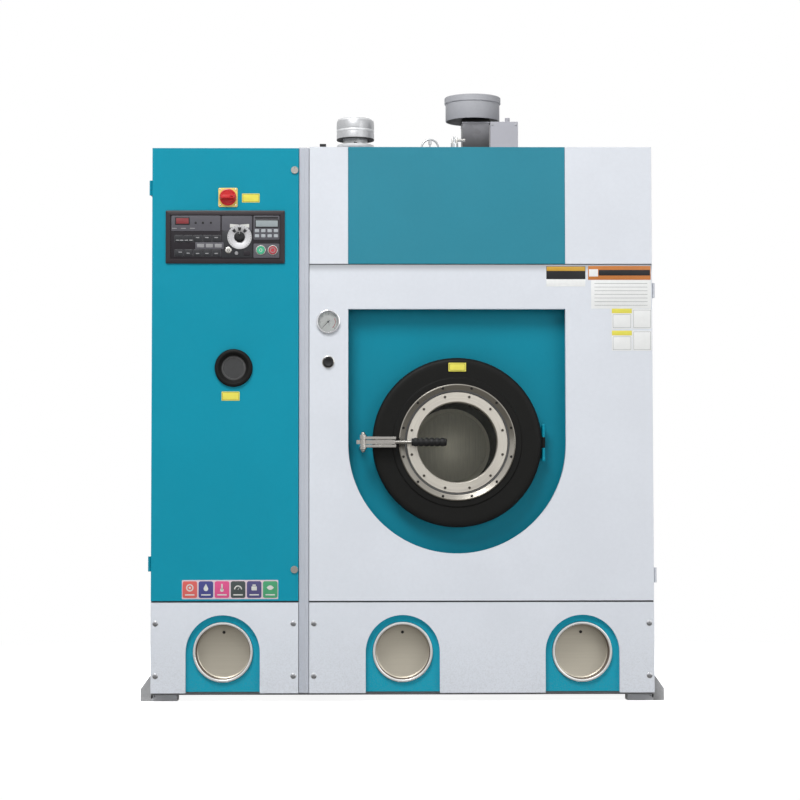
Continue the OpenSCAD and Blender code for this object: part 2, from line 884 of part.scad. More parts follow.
module intake_cowl() {
    neck_r = cowl_r - 21;
    z = roof_z;
    top = z + cowl_h;
    groove = cowl_r - 1.4;
    color("silver")
        translate([cowl_x, stack_y, 0])
            rotate_extrude($fn = 96)
                polygon([[neck_r - 4, z], [neck_r + 12, z], [neck_r + 12, z + 3], [neck_r, z + 3],
                    [neck_r, z + 78], [cowl_r - 3, z + 66], [cowl_r, z + 68], [cowl_r, z + 74],
                    [groove, z + 75], [groove, z + 91], [cowl_r, z + 92], [cowl_r, z + 97],
                    [groove, z + 98], [groove, z + 113], [cowl_r, z + 114], [cowl_r, z + 122],
                    [cowl_r - 3, z + 127], [cowl_r - 9, z + 132], [cowl_r - 22, top - 3],
                    [cowl_r - 40, top], [0, top], [0, top - 6], [neck_r - 4, z + 112]]);
}

module roof_fittings() {
    eye_x = drum_x - 75;
    eye_y = front_y + 200;
    valve_x = drum_x - 1;
    valve_y = front_y + 150;
    color("silver") {
        translate([eye_x, eye_y, roof_z + 29])
            rotate([90, 0, 0])
                rotate_extrude()
                    translate([25.5, 0])
                        circle(r = 3, $fn = 24);
        zcyl(eye_x, eye_y, roof_z, roof_z + 4, 20);
    }
    color("dimgray") {
        zcyl(valve_x, valve_y, roof_z, roof_z + 30, 7);
        zcyl(valve_x, valve_y, roof_z + 12, roof_z + 34, 11);
        zcyl(valve_x, valve_y, roof_z + 33, roof_z + 55, 5);
    }
    color("black")
        span([cowl_x - 107, cowl_x - 88], [body_y + 30, body_y + 90], [roof_z, roof_z + 18]);
}

// Two fixed knuckles, a pin and a leaf of a hinge with an upright axis
module fixed_hinge(x, y, z, h, r, pin_r) {
    for (z0 = [z - h / 2, z + h / 6 + run_gap / 2])
        zcyl(x, y, z0, z0 + h / 3 - run_gap / 2, r);
    zcyl(x, y, z - h / 2, z + h / 2, pin_r);
}

// The knuckle of a door, bored for the pin
module moving_knuckle(x, y, z, h, r, pin_r, web_x, web_y) {
    z0 = z - h / 6 + run_gap / 2;
    z1 = z + h / 6 - run_gap / 2;
    difference() {
        union() {
            zcyl(x, y, z0, z1, r);
            span(web_x, web_y, [z0, z1]);
        }
        zcyl(x, y, z0 - cut, z1 + cut, pin_r + shaft_play);
    }
}

// Heights of the hinges on the two sheet metal doors
control_hinge_zs = [door_z0 + 110.5, door_z1 - 120];
service_hinge_zs = [door_z0 + 75.5, service_z1 - 76.75];

module door_fittings() {
    color("silver") {
        for (z = control_hinge_zs) {
            fixed_hinge(-leaf_x, leaf_y, z, leaf_h, knuckle_r, leaf_pin_r);
            side_leaf(-1, z);
        }
        for (z = service_hinge_zs) {
            fixed_hinge(leaf_x, leaf_y, z, leaf_h, knuckle_r, leaf_pin_r);
            side_leaf(1, z);
        }
        fixed_hinge(hinge_x, hinge_y, drum_z, hinge_h, hinge_knuckle_r, hinge_pin_r);
        for (end = [-1, 1])
            translate([hinge_x, hinge_y, drum_z + end * (hinge_h / 2 + 3)])
                sphere(r = 6, $fn = 32);
        for (z = [drum_z - hinge_h / 2, drum_z + hinge_h / 6 + run_gap / 2])
            span([hinge_x - 4, hinge_x + 4], [hinge_y, recess_y - 1], [z, z + hinge_h / 3 - run_gap / 2]);
        span([hinge_x - 4, hinge_x + 6], [recess_y - 4, recess_y],
            [drum_z - hinge_h / 2, drum_z + hinge_h / 2]);
        span([handle_x - 14, handle_x - 4], [recess_y - 42, recess_y], [drum_z - 12, drum_z + 12]);
        span([handle_x - 16, handle_x + 6], [recess_y - 5, recess_y], [drum_z - 18, drum_z + 18]);
    }
}

// The leaf of a fixed hinge, on the outside of a side panel
module side_leaf(side, z) {
    x = side * half_w;
    for (z0 = [z - leaf_h / 2, z + leaf_h / 6 + run_gap / 2])
        span(side > 0 ? [x, leaf_x] : [-leaf_x, x], [leaf_y, leaf_y + 16],
            [z0, z0 + leaf_h / 3 - run_gap / 2]);
    span(side > 0 ? [x, x + 3] : [x - 3, x], [leaf_y + 15, leaf_y + 45], [z - leaf_h / 2, z + leaf_h / 2]);
}

module drum_cage() {
    out_r = drum_r + drum_wall;
    color("lightgray") {
        difference() {
            ycyl(drum_x, drum_z, drum_y0, drum_y1 + drum_wall, out_r);
            ycyl(drum_x, drum_z, drum_y0 + drum_wall, drum_y1, drum_r);
            ycyl(drum_x, drum_z, drum_y0 - cut, drum_y0 + drum_wall + cut, drum_mouth_r);
        }
        for (a = [90, 210, 330])
            translate([drum_x, 0, drum_z])
                rotate([0, a, 0])
                    translate([0, drum_y0 + 40, 0])
                        rotate([-90, 0, 0])
                            linear_extrude(drum_len - 70)
                                polygon([[drum_r + 1, -45], [drum_r - 52, -14], [drum_r - 52, 14],
                                    [drum_r + 1, 45]]);
    }
}

module drum_shaft() {
    y0 = drum_y1 + drum_wall;
    color("gray") {
        ycyl(drum_x, drum_z, y0, shaft_end_y, shaft_r);
        translate([drum_x, 0, drum_z])
            xz_plate(y0, y0 + spider_t) {
                circle(r = shaft_r + 40);
                for (a = [30, 150, 270])
                    rotate(a)
                        translate([0, -22])
                            square([drum_r - 8, 44]);
            }
    }
}

// A pulley on an axis along Y, with holes in its web
module pulley(x, z, r, bore, hole_r) {
    mid = (pulley_y0 + pulley_y1) / 2;
    difference() {
        union() {
            ytube(x, z, pulley_y0 + 8, pulley_y1 - 8, r, r - 22);
            ytube(x, z, pulley_y0, pulley_y0 + 7, r + 10, r - 22);
            ytube(x, z, pulley_y1 - 7, pulley_y1, r + 10, r - 22);
            ytube(x, z, pulley_y0 + 6, pulley_y1 - 6, r, r - 22);
            ycyl(x, z, mid - 5, mid + 5, r - 21);
            ycyl(x, z, pulley_y0, pulley_y1, bore + 18);
        }
        ycyl(x, z, pulley_y0 - cut, pulley_y1 + cut, bore);
        if (hole_r > 0)
            for (a = [0 : 60 : 300])
                translate([x, 0, z])
                    rotate([0, a, 0])
                        ycyl(0, (r - 22 + bore + 18) / 2, mid - 6, mid + 6, hole_r);
    }
}

module drum_pulley() {
    color("slategray")
        pulley(drum_x, drum_z, big_pulley_r, shaft_r, 42);
}

module motor_pulley() {
    color("slategray") {
        ycyl(motor_x, motor_z, motor_y1 - 48, pulley_y1 + 4, motor_shaft_r);
        pulley(motor_x, motor_z, small_pulley_r, motor_shaft_r, 0);
    }
}

module control_door() {
    color("teal") {
        difference() {
            tray([door_x0, door_x1], [door_z0, door_z1], door_fold);
            span([console_cx - console_w / 2 + 10, console_cx + console_w / 2 - 10],
                [front_y - cut, front_y + 5],
                [console_z - console_h / 2 + 10, console_z + console_h / 2 - 10]);
            ycyl(port_x, port_z, front_y - cut, front_y + 5, port_seat_r + 1);
            ycyl(switch_x, switch_z, front_y - cut, front_y + 5, 9);
            for (z = lock_zs) {
                ycyl(lock_x, z, front_y - cut, front_y + 5, 6 + shaft_play);
                lock_pocket([door_x1 - sheet - cut, door_x1 + cut], z);
            }
        }
        for (z = control_hinge_zs)
            moving_knuckle(-leaf_x, leaf_y, z, leaf_h, knuckle_r, leaf_pin_r,
                [-leaf_x, door_x0 + 1], [leaf_y - 1.5, leaf_y + 1.5]);
    }
}

module door_port() {
    color("black")
        yturn(port_x, port_z, [[port_in_r, front_y - 10], [port_r - 6, front_y - 12],
            [port_r - 2, front_y - 10], [port_r, front_y - 5], [port_r, front_y], [port_seat_r, front_y],
            [port_seat_r, front_y + 14], [port_in_r, front_y + 14]]);
    color("lightblue")
        ycyl(port_x, port_z, front_y + 4, front_y + 9, port_in_r - 0.2);
}

// A range made narrower at both ends
function inset(range, by) = [range[0] + by, range[1] - by];

module control_console() {
    x = [console_cx - console_w / 2, console_cx + console_w / 2];
    z = [console_z - console_h / 2, console_z + console_h / 2];
    plate = switch_plate_w / 2;
    color("darkslategray")
        difference() {
            union() {
                span(x, [console_front, front_y], z);
                span(inset(x, 11), [front_y - cut, front_y + 50], inset(z, 11));
            }
            span(inset(x, console_rim), [console_front - cut, console_face], inset(z, console_rim));
            span(inset(x, 13), [console_face + 14, front_y + 48], inset(z, 13));
            for (bx = [start_x, stop_x])
                ycyl(bx, button_z, console_face - cut, console_face + 15, button_r + button_play);
            ycyl(dial_x, console_z, console_face - cut, console_face + 15, 4 + shaft_play);
        }
    color("gold")
        difference() {
            span([switch_x - plate, switch_x + plate], [front_y - 4, front_y],
                [switch_z - plate, switch_z + plate]);
            ycyl(switch_x, switch_z, front_y - 5, front_y + cut, 5 + shaft_play);
        }
}

module switch_knob() {
    y0 = front_y - 4 - run_gap;
    base_t = 13;
    bar_l = switch_r - 3;
    bar_w = 5.5;
    color("crimson") {
        yturn(switch_x, switch_z, [[0, y0], [switch_r, y0], [switch_r, y0 - base_t + 3],
            [switch_r - 3, y0 - base_t], [0, y0 - base_t]]);
        span([switch_x - bar_l, switch_x + bar_l], [y0 - 2 * base_t, y0 - base_t + 1],
            [switch_z - bar_w, switch_z + bar_w]);
        ycyl(switch_x, switch_z, y0 - 1, front_y + 20, 5);
    }
}

module program_knob() {
    y0 = console_face - run_gap;
    color("black") {
        ycyl(dial_x, console_z, y0 - 14, y0, 15.5);
        ycyl(dial_x, console_z, y0 - 1, y0 + 16, 4);
    }
    color("white")
        span([dial_x - 1, dial_x + 1], [y0 - 15, y0 - 13], [console_z + 3, console_z + 14]);
}

// A push button with a cap before the face and a stem that keeps it in its bore
module push_button(x, z, face, r) {
    ycyl(x, z, face - button_out, face + 10, r);
    ycyl(x, z, face + 9, face + 13, r);
}

module start_button() {
    color("green")
        push_button(start_x, button_z, console_face, button_r);
}

module stop_button() {
    color("red")
        push_button(stop_x, button_z, console_face, button_r);
}

// A quarter-turn lock: slotted head, shaft and a cam arm that points up when it is open
module quarter_lock(z) {
    difference() {
        ycyl(lock_x, z, front_y - run_gap - 5, front_y - run_gap, 11);
        span([lock_x - 1.5, lock_x + 1.5], [front_y - 10, front_y - 3.4], [z - 8, z + 8]);
    }
    ycyl(lock_x, z, front_y - 1, lock_arm_y + lock_arm_t + 1, 6);
    span([lock_x - lock_arm_w / 2, lock_x + lock_arm_w / 2], [lock_arm_y, lock_arm_y + lock_arm_t],
        [z - 6, z + lock_arm_l]);
}

module upper_lock() {
    color("silver")
        quarter_lock(lock_zs[1]);
}

module lower_lock() {
    color("silver")
        quarter_lock(lock_zs[0]);
}

// The outline of the opening in the service panel, grown by an amount
module recess_outline(grow) {
    translate([drum_x, recess_z])
        circle(r = recess_r + grow, $fn = 96);
    translate([drum_x - recess_r - grow, recess_z])
        square([2 * (recess_r + grow), recess_top - recess_z + grow]);
}

module service_panel() {
    color("gainsboro") {
        difference() {
            union() {
                tray([right_x0, right_x1], [door_z0, service_z1], door_fold);
                xz_plate(front_y + sheet / 2, door_back_y)
                    recess_outline(sheet);
            }
            xz_plate(front_y - cut, door_back_y + cut)
                recess_outline(0);
            ycyl(gauge_x, gauge_z, front_y - cut, front_y + 5, gauge_r - 6);
            ycyl(gauge_x, release_z, front_y - cut, front_y + 5, release_r + 2);
        }
        for (z = service_hinge_zs)
            moving_knuckle(leaf_x, leaf_y, z, leaf_h, knuckle_r, leaf_pin_r,
                [right_x1 - 1, leaf_x], [leaf_y - 1.5, leaf_y + 1.5]);
    }
}

module gauge_case() {
    dial_r = gauge_r - 10;
    color("silver")
        difference() {
            union() {
                yturn(gauge_x, gauge_z, [[0, front_y], [gauge_r, front_y], [gauge_r, front_y - 3],
                    [gauge_r - 2, front_y - 4], [gauge_r - 6, front_y - 4], [gauge_r - 7, front_y - 9],
                    [dial_r, front_y - 9], [dial_r, front_y - 3], [0, front_y - 3]]);
                ycyl(gauge_x, gauge_z, front_y - 1, front_y + 40, gauge_r - 6.3);
                ycyl(gauge_x, gauge_z, front_y + 39, front_y + 60, 7);
            }
            ycyl(gauge_x, gauge_z, front_y - 5, front_y + 8, 1.5 + shaft_play);
        }
}

module gauge_needle() {
    y0 = front_y - 3 - run_gap;
    color("black") {
        ycyl(gauge_x, gauge_z, y0 - 2, y0, 3);
        ycyl(gauge_x, gauge_z, y0 - 1, y0 + 8, 1.5);
        translate([gauge_x, 0, gauge_z])
            rotate([0, -135, 0])
                span([-0.8, 0.8], [y0 - 1.4, y0 - 0.4], [-7, gauge_r - 14]);
    }
}

module release_bezel() {
    color("black")
        difference() {
            union() {
                ycyl(gauge_x, release_z, front_y - 5, front_y, release_r + 3);
                ycyl(gauge_x, release_z, front_y - 1, front_y + 22, release_r + 1.8);
            }
            ycyl(gauge_x, release_z, front_y - 6, front_y + 23, release_r - 1 + button_play);
        }
}

module release_button() {
    color("black")
        ycyl(gauge_x, release_z, front_y - 10, front_y + 16, release_r - 1);
}

module door_cover_ring() {
    in_r = cover_in_r;
    out_r = cover_r;
    color("black") {
        yturn(drum_x, drum_z, [[in_r, ring_back_y], [out_r - 3, ring_back_y], [out_r, ring_back_y - 3],
            [out_r, ring_front_y + 14], [out_r - 2, ring_front_y + 7], [out_r - 6, ring_front_y + 3],
            [out_r - 12, ring_front_y + 1], [out_r - 22, ring_front_y], [in_r + 20, ring_front_y],
            [in_r + 17, ring_front_y - 4], [in_r, ring_front_y - 4]]);
        moving_knuckle(hinge_x, hinge_y, drum_z, hinge_h, hinge_knuckle_r, hinge_pin_r,
            [hinge_x - 10, hinge_x], [hinge_y - 4, hinge_y + 4]);
    }
}

module door_outer_ring() {
    out_r = rim_bolt_r + 8;
    y0 = ring_back_y;
    y1 = ring_front_y - 8;
    shelf_y = y0 - 33;
    color("silver")
        difference() {
            yturn(drum_x, drum_z, [[glass_r + 1, y0], [out_r, y0], [out_r, y1], [out_r - 3, y1 - 2],
                [clamp_r + 4, y1 + 8], [clamp_r + 1.5, y1 + 10], [clamp_r + 1.5, shelf_y - 9],
                [glass_r + 12, shelf_y - 9], [glass_r + 12, shelf_y], [glass_r + 1, shelf_y]]);
            for (i = [0 : bolt_count - 1])
                translate([drum_x, 0, drum_z])
                    rotate([0, bolt_turn + 360 / bolt_count * i, 0]) {
                        ycyl(0, clamp_bolt_r, shelf_y - 10, shelf_y + 8, 2.7);
                        ycyl(0, rim_bolt_r, y1 - 4, y1 + 14, 2.7);
                    }
        }
}

module door_clamp_ring() {
    y0 = ring_back_y - 33 - 9;
    y1 = y0 - 16;
    color("gainsboro")
        difference() {
            yturn(drum_x, drum_z, [[glass_r, y0], [clamp_r, y0], [clamp_r, y1 + 2], [clamp_r - 2, y1],
                [glass_r + 3, y1], [glass_r, y1 + 3]]);
            for (i = [0 : bolt_count - 1])
                translate([drum_x, 0, drum_z])
                    rotate([0, bolt_turn + 360 / bolt_count * i, 0])
                        ycyl(0, clamp_bolt_r, y1 - 1, y0 + 1, 2.7);
        }
}

module door_glass() {
    y0 = ring_back_y - 33;
    color("lightgray", 0.4)
        ycyl(drum_x, drum_z, y0 - 8.7, y0, glass_r + 11.5);
}

module door_gasket() {
    color("dimgray")
        ytube(drum_x, drum_z, ring_back_y, collar_y - seat_gap, collar_r - 2, rim_bolt_r + 9);
}

// A cap screw along Y: head before the face, shank behind it
module cap_screw(r, face, length) {
    ycyl(0, r, face - 3, face, 4.2);
    ycyl(0, r, face - 0.5, face + length, 2.5);
}

module door_bolts() {
    clamp_face = ring_back_y - 33 - 9 - 16;
    rim_face = ring_front_y - 8 - 2;
    color("dimgray")
        for (i = [0 : bolt_count - 1])
            translate([drum_x, 0, drum_z])
                rotate([0, bolt_turn + 360 / bolt_count * i, 0]) {
                    cap_screw(clamp_bolt_r, clamp_face, 22);
                    cap_screw(rim_bolt_r, rim_face, 12);
                }
}

module handle_bracket() {
    foot_y = ring_front_y;
    web_y = handle_y + 10;
    color("silver") {
        for (z = [drum_z - 16, drum_z + 8])
            span([handle_x, handle_x + 98], [handle_y - 8, web_y + 6], [z, z + 8]);
        span([drum_x - cover_r + 8, drum_x - cover_in_r - 20.5], [web_y, foot_y], [drum_z - 16, drum_z + 16]);
        for (z = [drum_z - 22, drum_z + 8])
            zcyl(handle_x, handle_y, z, z + 14, 10);
        zcyl(handle_x, handle_y, drum_z - 24, drum_z + 24, handle_pin_r);
        for (end = [-1, 1])
            translate([handle_x, handle_y, drum_z + end * 25])
                sphere(r = 6, $fn = 32);
    }
}

module handle_lever() {
    eye = 7.7;
    color("silver")
        difference() {
            union() {
                zcyl(handle_x, handle_y, drum_z - eye, drum_z + eye, 9.5);
                span([handle_x, handle_x + 96], [handle_y - 5, handle_y + 5], [drum_z - 6, drum_z + 6]);
                span([handle_x - 20, handle_x], [handle_y - 4, handle_y + 4], [drum_z - 6, drum_z + 6]);
                translate([handle_x + 94, handle_y, drum_z])
                    rotate([0, 90, 0])
                        cylinder(r = 5.5, h = 50.2);
            }
            zcyl(handle_x, handle_y, drum_z - 40, drum_z + 40, handle_pin_r + shaft_play);
        }
}

module handle_grip() {
    length = 106;
    rib = 13;
    groove = 11.5;
    color("black")
        translate([handle_x + 144.2, handle_y, drum_z])
            rotate([0, 90, 0])
                rotate_extrude()
                    polygon(concat([[0, 0], [groove, 0]],
                        [for (i = [0 : 4], k = [0 : 3])
                            [k % 3 == 0 ? groove : rib, 6 + 20 * i + (k < 2 ? 1.5 * k : 1.5 * (k - 1) + 9)]],
                        [[groove - 2, length], [0, length]]));
}

base_frame();
anchor_feet();
cabinet_frame();
side_panels();
rear_panel();
roof_panel();
centre_post();
header_panel();
header_insert();
lower_panels();
arch_plates();
panel_screws();
recess_panel();
tank_hatches();
solvent_tanks();
outer_tub();
bearing_housing();
drum_bearings();
drive_motor();
drive_belt();
pump_set();
solvent_filter();
still_vessel();
air_duct();
refrigeration_set();
control_backplate();
exhaust_drum();
exhaust_duct();
junction_box();
intake_cowl();
roof_fittings();
door_fittings();
drum_cage();
drum_shaft();
drum_pulley();
motor_pulley();
fan_impeller();
control_door();
door_port();
control_console();
switch_knob();
program_knob();
start_button();
stop_button();
upper_lock();
lower_lock();
service_panel();
gauge_case();
gauge_needle();
release_bezel();
release_button();
door_cover_ring();
door_outer_ring();
door_clamp_ring();
door_glass();
door_gasket();
door_bolts();
handle_bracket();
handle_lever();
handle_grip();
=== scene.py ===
"""Looks of a dry cleaning machine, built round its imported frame.

Sizes are in millimetres, with x across, y away from the front and z up, unless a comment says metres.
"""

import logging
import math
from dataclasses import dataclass
from enum import Enum
from typing import Callable

import bmesh
import bpy
from mathutils import Matrix, Vector


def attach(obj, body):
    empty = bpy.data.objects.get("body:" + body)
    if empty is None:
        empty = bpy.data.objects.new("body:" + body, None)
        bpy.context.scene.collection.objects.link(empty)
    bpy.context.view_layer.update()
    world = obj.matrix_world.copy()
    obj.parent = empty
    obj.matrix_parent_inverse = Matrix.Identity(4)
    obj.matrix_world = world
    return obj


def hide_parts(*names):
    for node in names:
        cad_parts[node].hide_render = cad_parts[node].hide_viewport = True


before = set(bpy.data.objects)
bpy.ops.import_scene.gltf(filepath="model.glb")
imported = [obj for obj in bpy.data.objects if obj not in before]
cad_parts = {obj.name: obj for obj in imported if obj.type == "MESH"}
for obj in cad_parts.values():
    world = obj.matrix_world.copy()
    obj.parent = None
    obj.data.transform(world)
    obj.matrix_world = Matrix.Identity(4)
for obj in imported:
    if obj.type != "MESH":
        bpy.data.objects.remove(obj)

LOG = logging.getLogger("dry_cleaning_machine")
MM = 0.001
SMOOTH_BELOW = math.radians(38.0)  # angle up to which an edge is shaded smooth
BEVEL_ABOVE = math.radians(40.0)  # angle from which an edge is rounded
TINY = 1e-6  # radius in millimetres below which a point lies on its axis
MERGE = 1e-5  # distance in metres below which two points are one
WHITE_LIGHT = (1.0, 1.0, 1.0, 1.0)

Point2 = tuple[float, float]
Point3 = tuple[float, float, float]
Colour = tuple[int, int, int]
Value = "Channel | float"


# ---------------------------------------------------------------- node graphs


def operator(operation: str, turned: bool = False) -> "Callable[[Channel, Value], Channel]":
    """Returns a method that adds a Math node for one of Python's operators.

    Args:
        operation: Name of the node's operation.
        turned: True if the channel is the second value.

    Returns:
        The method.
    """

    def apply(self: "Channel", other: "Value") -> "Channel":
        """Returns the node's result."""
        values = (other, self) if turned else (self, other)
        return self.graph.node("ShaderNodeMath", {"operation": operation}, dict(enumerate(values)))

    return apply


class Channel:
    """An output socket that takes part in sums, in a shader or a Geometry Nodes tree."""

    __add__ = __radd__ = operator("ADD")
    __sub__ = operator("SUBTRACT")
    __rsub__ = operator("SUBTRACT", True)
    __mul__ = __rmul__ = operator("MULTIPLY")
    __truediv__ = operator("DIVIDE")
    __mod__ = operator("MODULO")
    __pow__ = operator("POWER")

    def __init__(self, graph: "Graph", socket: bpy.types.NodeSocket) -> None:
        """Keeps the graph and the output socket."""
        self.graph = graph
        self.socket = socket

    def math(self, operation: str, *others: "Value") -> "Channel":
        """Adds a Math node with this channel as its first value, and returns its result."""
        return self.graph.node("ShaderNodeMath", {"operation": operation}, dict(enumerate((self, *others))))

    def ramp(self, start: float, end: float, low: float = 0.0, high: float = 1.0) -> "Channel":
        """Fades smoothly from low to high as this channel goes from start to end.

        Args:
            start: Value at which the fade starts.
            end: Value at which the fade ends.
            low: Result at start.
            high: Result at end.

        Returns:
            The faded value.
        """
        return self.graph.node(
            "ShaderNodeMapRange",
            {"interpolation_type": "SMOOTHSTEP"},
            {"Value": self, "From Min": start, "From Max": end, "To Min": low, "To Max": high},
        )


class Graph:
    """A node tree with one method that adds any node."""

    def __init__(self, tree: bpy.types.NodeTree) -> None:
        """Keeps the tree that it fills."""
        self.tree = tree

    def node(
        self, kind: str, settings: dict | None = None, inputs: dict | None = None, out: int | str = 0
    ) -> Channel:
        """Adds a node, sets it up and joins its inputs.

        Args:
            kind: The node's type.
            settings: Attributes that are set first.
            inputs: Values or channels by socket name or number.
            out: Name or number of the wanted output.

        Returns:
            The wanted output.
        """
        node = self.tree.nodes.new(kind)
        for key, value in (settings or {}).items():
            setattr(node, key, value)
        for key, value in (inputs or {}).items():
            if isinstance(value, Channel):
                self.tree.links.new(value.socket, node.inputs[key])
            else:
                node.inputs[key].default_value = value
        return Channel(self, node.outputs[out] if node.outputs else None)

    def vector(self, operation: str, *values: "Channel | Point3") -> Channel:
        """Adds a Vector Math node and returns its result."""
        return self.node("ShaderNodeVectorMath", {"operation": operation}, dict(enumerate(values)))

    def pack(self, x: "Value", y: "Value", z: "Value") -> Channel:
        """Joins three values into a vector."""
        return self.node("ShaderNodeCombineXYZ", None, {0: x, 1: y, 2: z})


# ------------------------------------------------------------------- finishes


def linear(colour: Colour, share: float = 1.0) -> tuple[float, ...]:
    """Turns a colour of 0 to 255 into the renderer's linear values.

    Args:
        colour: Red, green and blue as written on a paint card.
        share: Share of its light that is kept.

    Returns:
        Linear red, green, blue and an alpha of 1.
    """
    parts = [c / 255.0 for c in colour]
    straight = [c / 12.92 if c <= 0.04045 else ((c + 0.055) / 1.055) ** 2.4 for c in parts]
    return (*(c * share for c in straight), 1.0)


class Grain(Enum):
    """The way in which a brushed surface was brushed."""

    ALONG_X = (3.0, 900.0, 900.0)
    ALONG_Y = (900.0, 3.0, 900.0)
    ALONG_Z = (900.0, 900.0, 3.0)
    ROUND = (0.0, 0.0, 0.0)


class Surface(Graph):
    """The shader tree of one material, with the patterns that the finishes share."""

    def __init__(self, name: str) -> None:
        """Starts an empty material.

        Args:
            name: The material's name.
        """
        self.material = bpy.data.materials.new(name)
        self.material.use_nodes = True
        super().__init__(self.material.node_tree)
        self.tree.nodes.clear()
        self.place = self.node("ShaderNodeTexCoord", out="Object")

    def noise(self, scale: float, detail: float = 2.0, at: Channel | None = None) -> Channel:
        """Returns a noise of 0 to 1 with so many grains per metre and so many octaves."""
        inputs = {"Vector": at or self.place, "Scale": scale, "Detail": detail}
        return self.node("ShaderNodeTexNoise", None, inputs)

    def stretched(self, scale: Point3) -> Channel:
        """Returns the object's coordinates, scaled along each axis."""
        return self.node("ShaderNodeMapping", None, {"Vector": self.place, "Scale": scale})

    def parted(self, at: Channel | None = None) -> tuple[Channel, Channel, Channel]:
        """Returns x, y and z of some coordinates."""
        split = self.node("ShaderNodeSeparateXYZ", None, {0: at or self.place}).socket.node
        return tuple(Channel(self, socket) for socket in split.outputs)

    def blend(self, factor: Channel | float, first: object, second: object) -> Channel:
        """Mixes two linear colours; factor is the share of the second one."""
        inputs = {0: factor, 6: first, 7: second}
        return self.node("ShaderNodeMix", {"data_type": "RGBA"}, inputs, 2)

    def bump(self, height: Channel, distance: float) -> Channel:
        """Returns a normal that follows a height of 0 to 1; distance is what 1 stands for, in metres."""
        return self.node("ShaderNodeBump", None, {"Height": height, "Distance": distance, "Strength": 1.0})

    def close(self, inputs: dict) -> bpy.types.Material:
        """Adds the Principled shader and the output, and returns the finished material."""
        shader = self.node("ShaderNodeBsdfPrincipled", None, inputs)
        self.node("ShaderNodeOutputMaterial", None, {"Surface": shader})
        return self.material


@dataclass(frozen=True)
class Finish:
    """A finish with fine grain, made once and used wherever it is named."""

    name: str  # name of the material
    colour: Colour  # its colour, 0 to 255
    rough: float = 0.45  # roughness
    metal: float = 0.0  # 1 for bare metal
    coat: float = 0.0  # weight of a clear coat
    grain: float = 700.0  # grains per metre of the fine relief
    relief: float = 0.00002  # height of the relief in metres
    uneven: float = 0.05  # share by which the colour varies
    dust: float = 0.0  # share of dust near the floor
    shine: float = 0.5  # strength of the mirror-like part of the sheen
    # the faint light of its own is a display's light, and on the drum's hub a painted light
    lamp_and_painted_glow: float = 0.0  # strength of a faint light of its own

    @property
    def material(self) -> bpy.types.Material:
        """Returns the material, which is built at its first use."""
        return bpy.data.materials.get(self.name) or self.build()

    def height(self, surface: Surface) -> Channel:
        """Returns the fine relief of the surface."""
        return surface.noise(self.grain, 2.0)

    def tone(self, surface: Surface) -> Channel:
        """Returns the colour with its clouds and its dust.

        Args:
            surface: The material's tree.

        Returns:
            The colour.
        """
        dark = linear(self.colour, 1.0 - 2.0 * self.uneven)
        clouds = surface.noise(4.0, 4.0) * 0.7 + surface.noise(90.0, 2.0) * 0.3
        colour = surface.blend(clouds.ramp(0.35, 0.7), dark, linear(self.colour))
        if self.dust > 0.0:
            low = surface.parted()[2].ramp(0.0, 0.32, self.dust, 0.0)
            specks = surface.noise(260.0, 4.0).ramp(0.35, 0.75)
            colour = surface.blend(low * specks, colour, linear((126, 120, 108)))
        return colour

    def extras(self) -> dict:
        """Returns the faint light of its own, which is the same all over: a display's light, and a painted
        light on the drum's hub.
        """
        return {"Emission Color": linear(self.colour), "Emission Strength": self.lamp_and_painted_glow} if self.lamp_and_painted_glow else {}

    def build(self) -> bpy.types.Material:
        """Builds the material.

        Returns:
            The material.
        """
        surface = Surface(self.name)
        smears = surface.noise(14.0, 5.0).ramp(0.3, 0.7, 0.9 * self.rough, 1.12 * self.rough)
        inputs = {
            "Base Color": self.tone(surface),
            "Roughness": smears,
            "Metallic": self.metal,
            "Coat Weight": self.coat,
            "Coat Roughness": 0.12,
            "Specular IOR Level": self.shine,
            "Normal": surface.bump(self.height(surface), self.relief),
        }
        return surface.close({**inputs, **self.extras()})


@dataclass(frozen=True)
class PowderCoat(Finish):
    """Powder paint on sheet metal, with its orange peel and a little dust low down."""

    rough: float = 0.38
    coat: float = 0.08
    shine: float = 0.3
    grain: float = 420.0
    relief: float = 0.00005
    uneven: float = 0.022
    dust: float = 0.16

    def height(self, surface: Surface) -> Channel:
        """Returns orange peel: soft dimples with a finer grain over them."""
        return surface.noise(self.grain, 1.0) * 0.8 + surface.noise(self.grain * 4.0, 1.0) * 0.2


@dataclass(frozen=True)
class Brushed(Finish):
    """Brushed sheet metal."""

    rough: float = 0.3
    metal: float = 1.0
    relief: float = 0.000015
    uneven: float = 0.04
    way: Grain = Grain.ALONG_X  # the way in which it was brushed
    centre: Point2 = (0.0, 0.0)  # middle of round brushing, x and z in metres
    contrast: float = 0.22  # how much darker its brush lines are

    def lines(self, surface: Surface) -> Channel:
        """Returns the brush lines, which run straight or round a centre.

        Args:
            surface: The material's tree.

        Returns:
            A value of 0 to 1 that changes across the lines.
        """
        if self.way is not Grain.ROUND:
            return surface.noise(1.0, 3.0, surface.stretched(self.way.value))
        x, y, z = surface.parted()
        across, up = x - self.centre[0], z - self.centre[1]
        radius = (across * across + up * up) ** 0.5
        turn = up.math("ARCTAN2", across)
        return surface.noise(1.0, 3.0, surface.pack(radius * 1100.0, turn.math("SINE") * 1.6, y * 500.0))

    def height(self, surface: Surface) -> Channel:
        """Returns the brush lines as relief."""
        return self.lines(surface)

    def tone(self, surface: Surface) -> Channel:
        """Returns the metal's colour, a little darker in its brush lines."""
        dark = linear(self.colour, 1.0 - self.contrast)
        mask = self.lines(surface) * 0.7 + surface.noise(6.0, 4.0) * 0.3
        return surface.blend(mask.ramp(0.3, 0.62), dark, linear(self.colour))


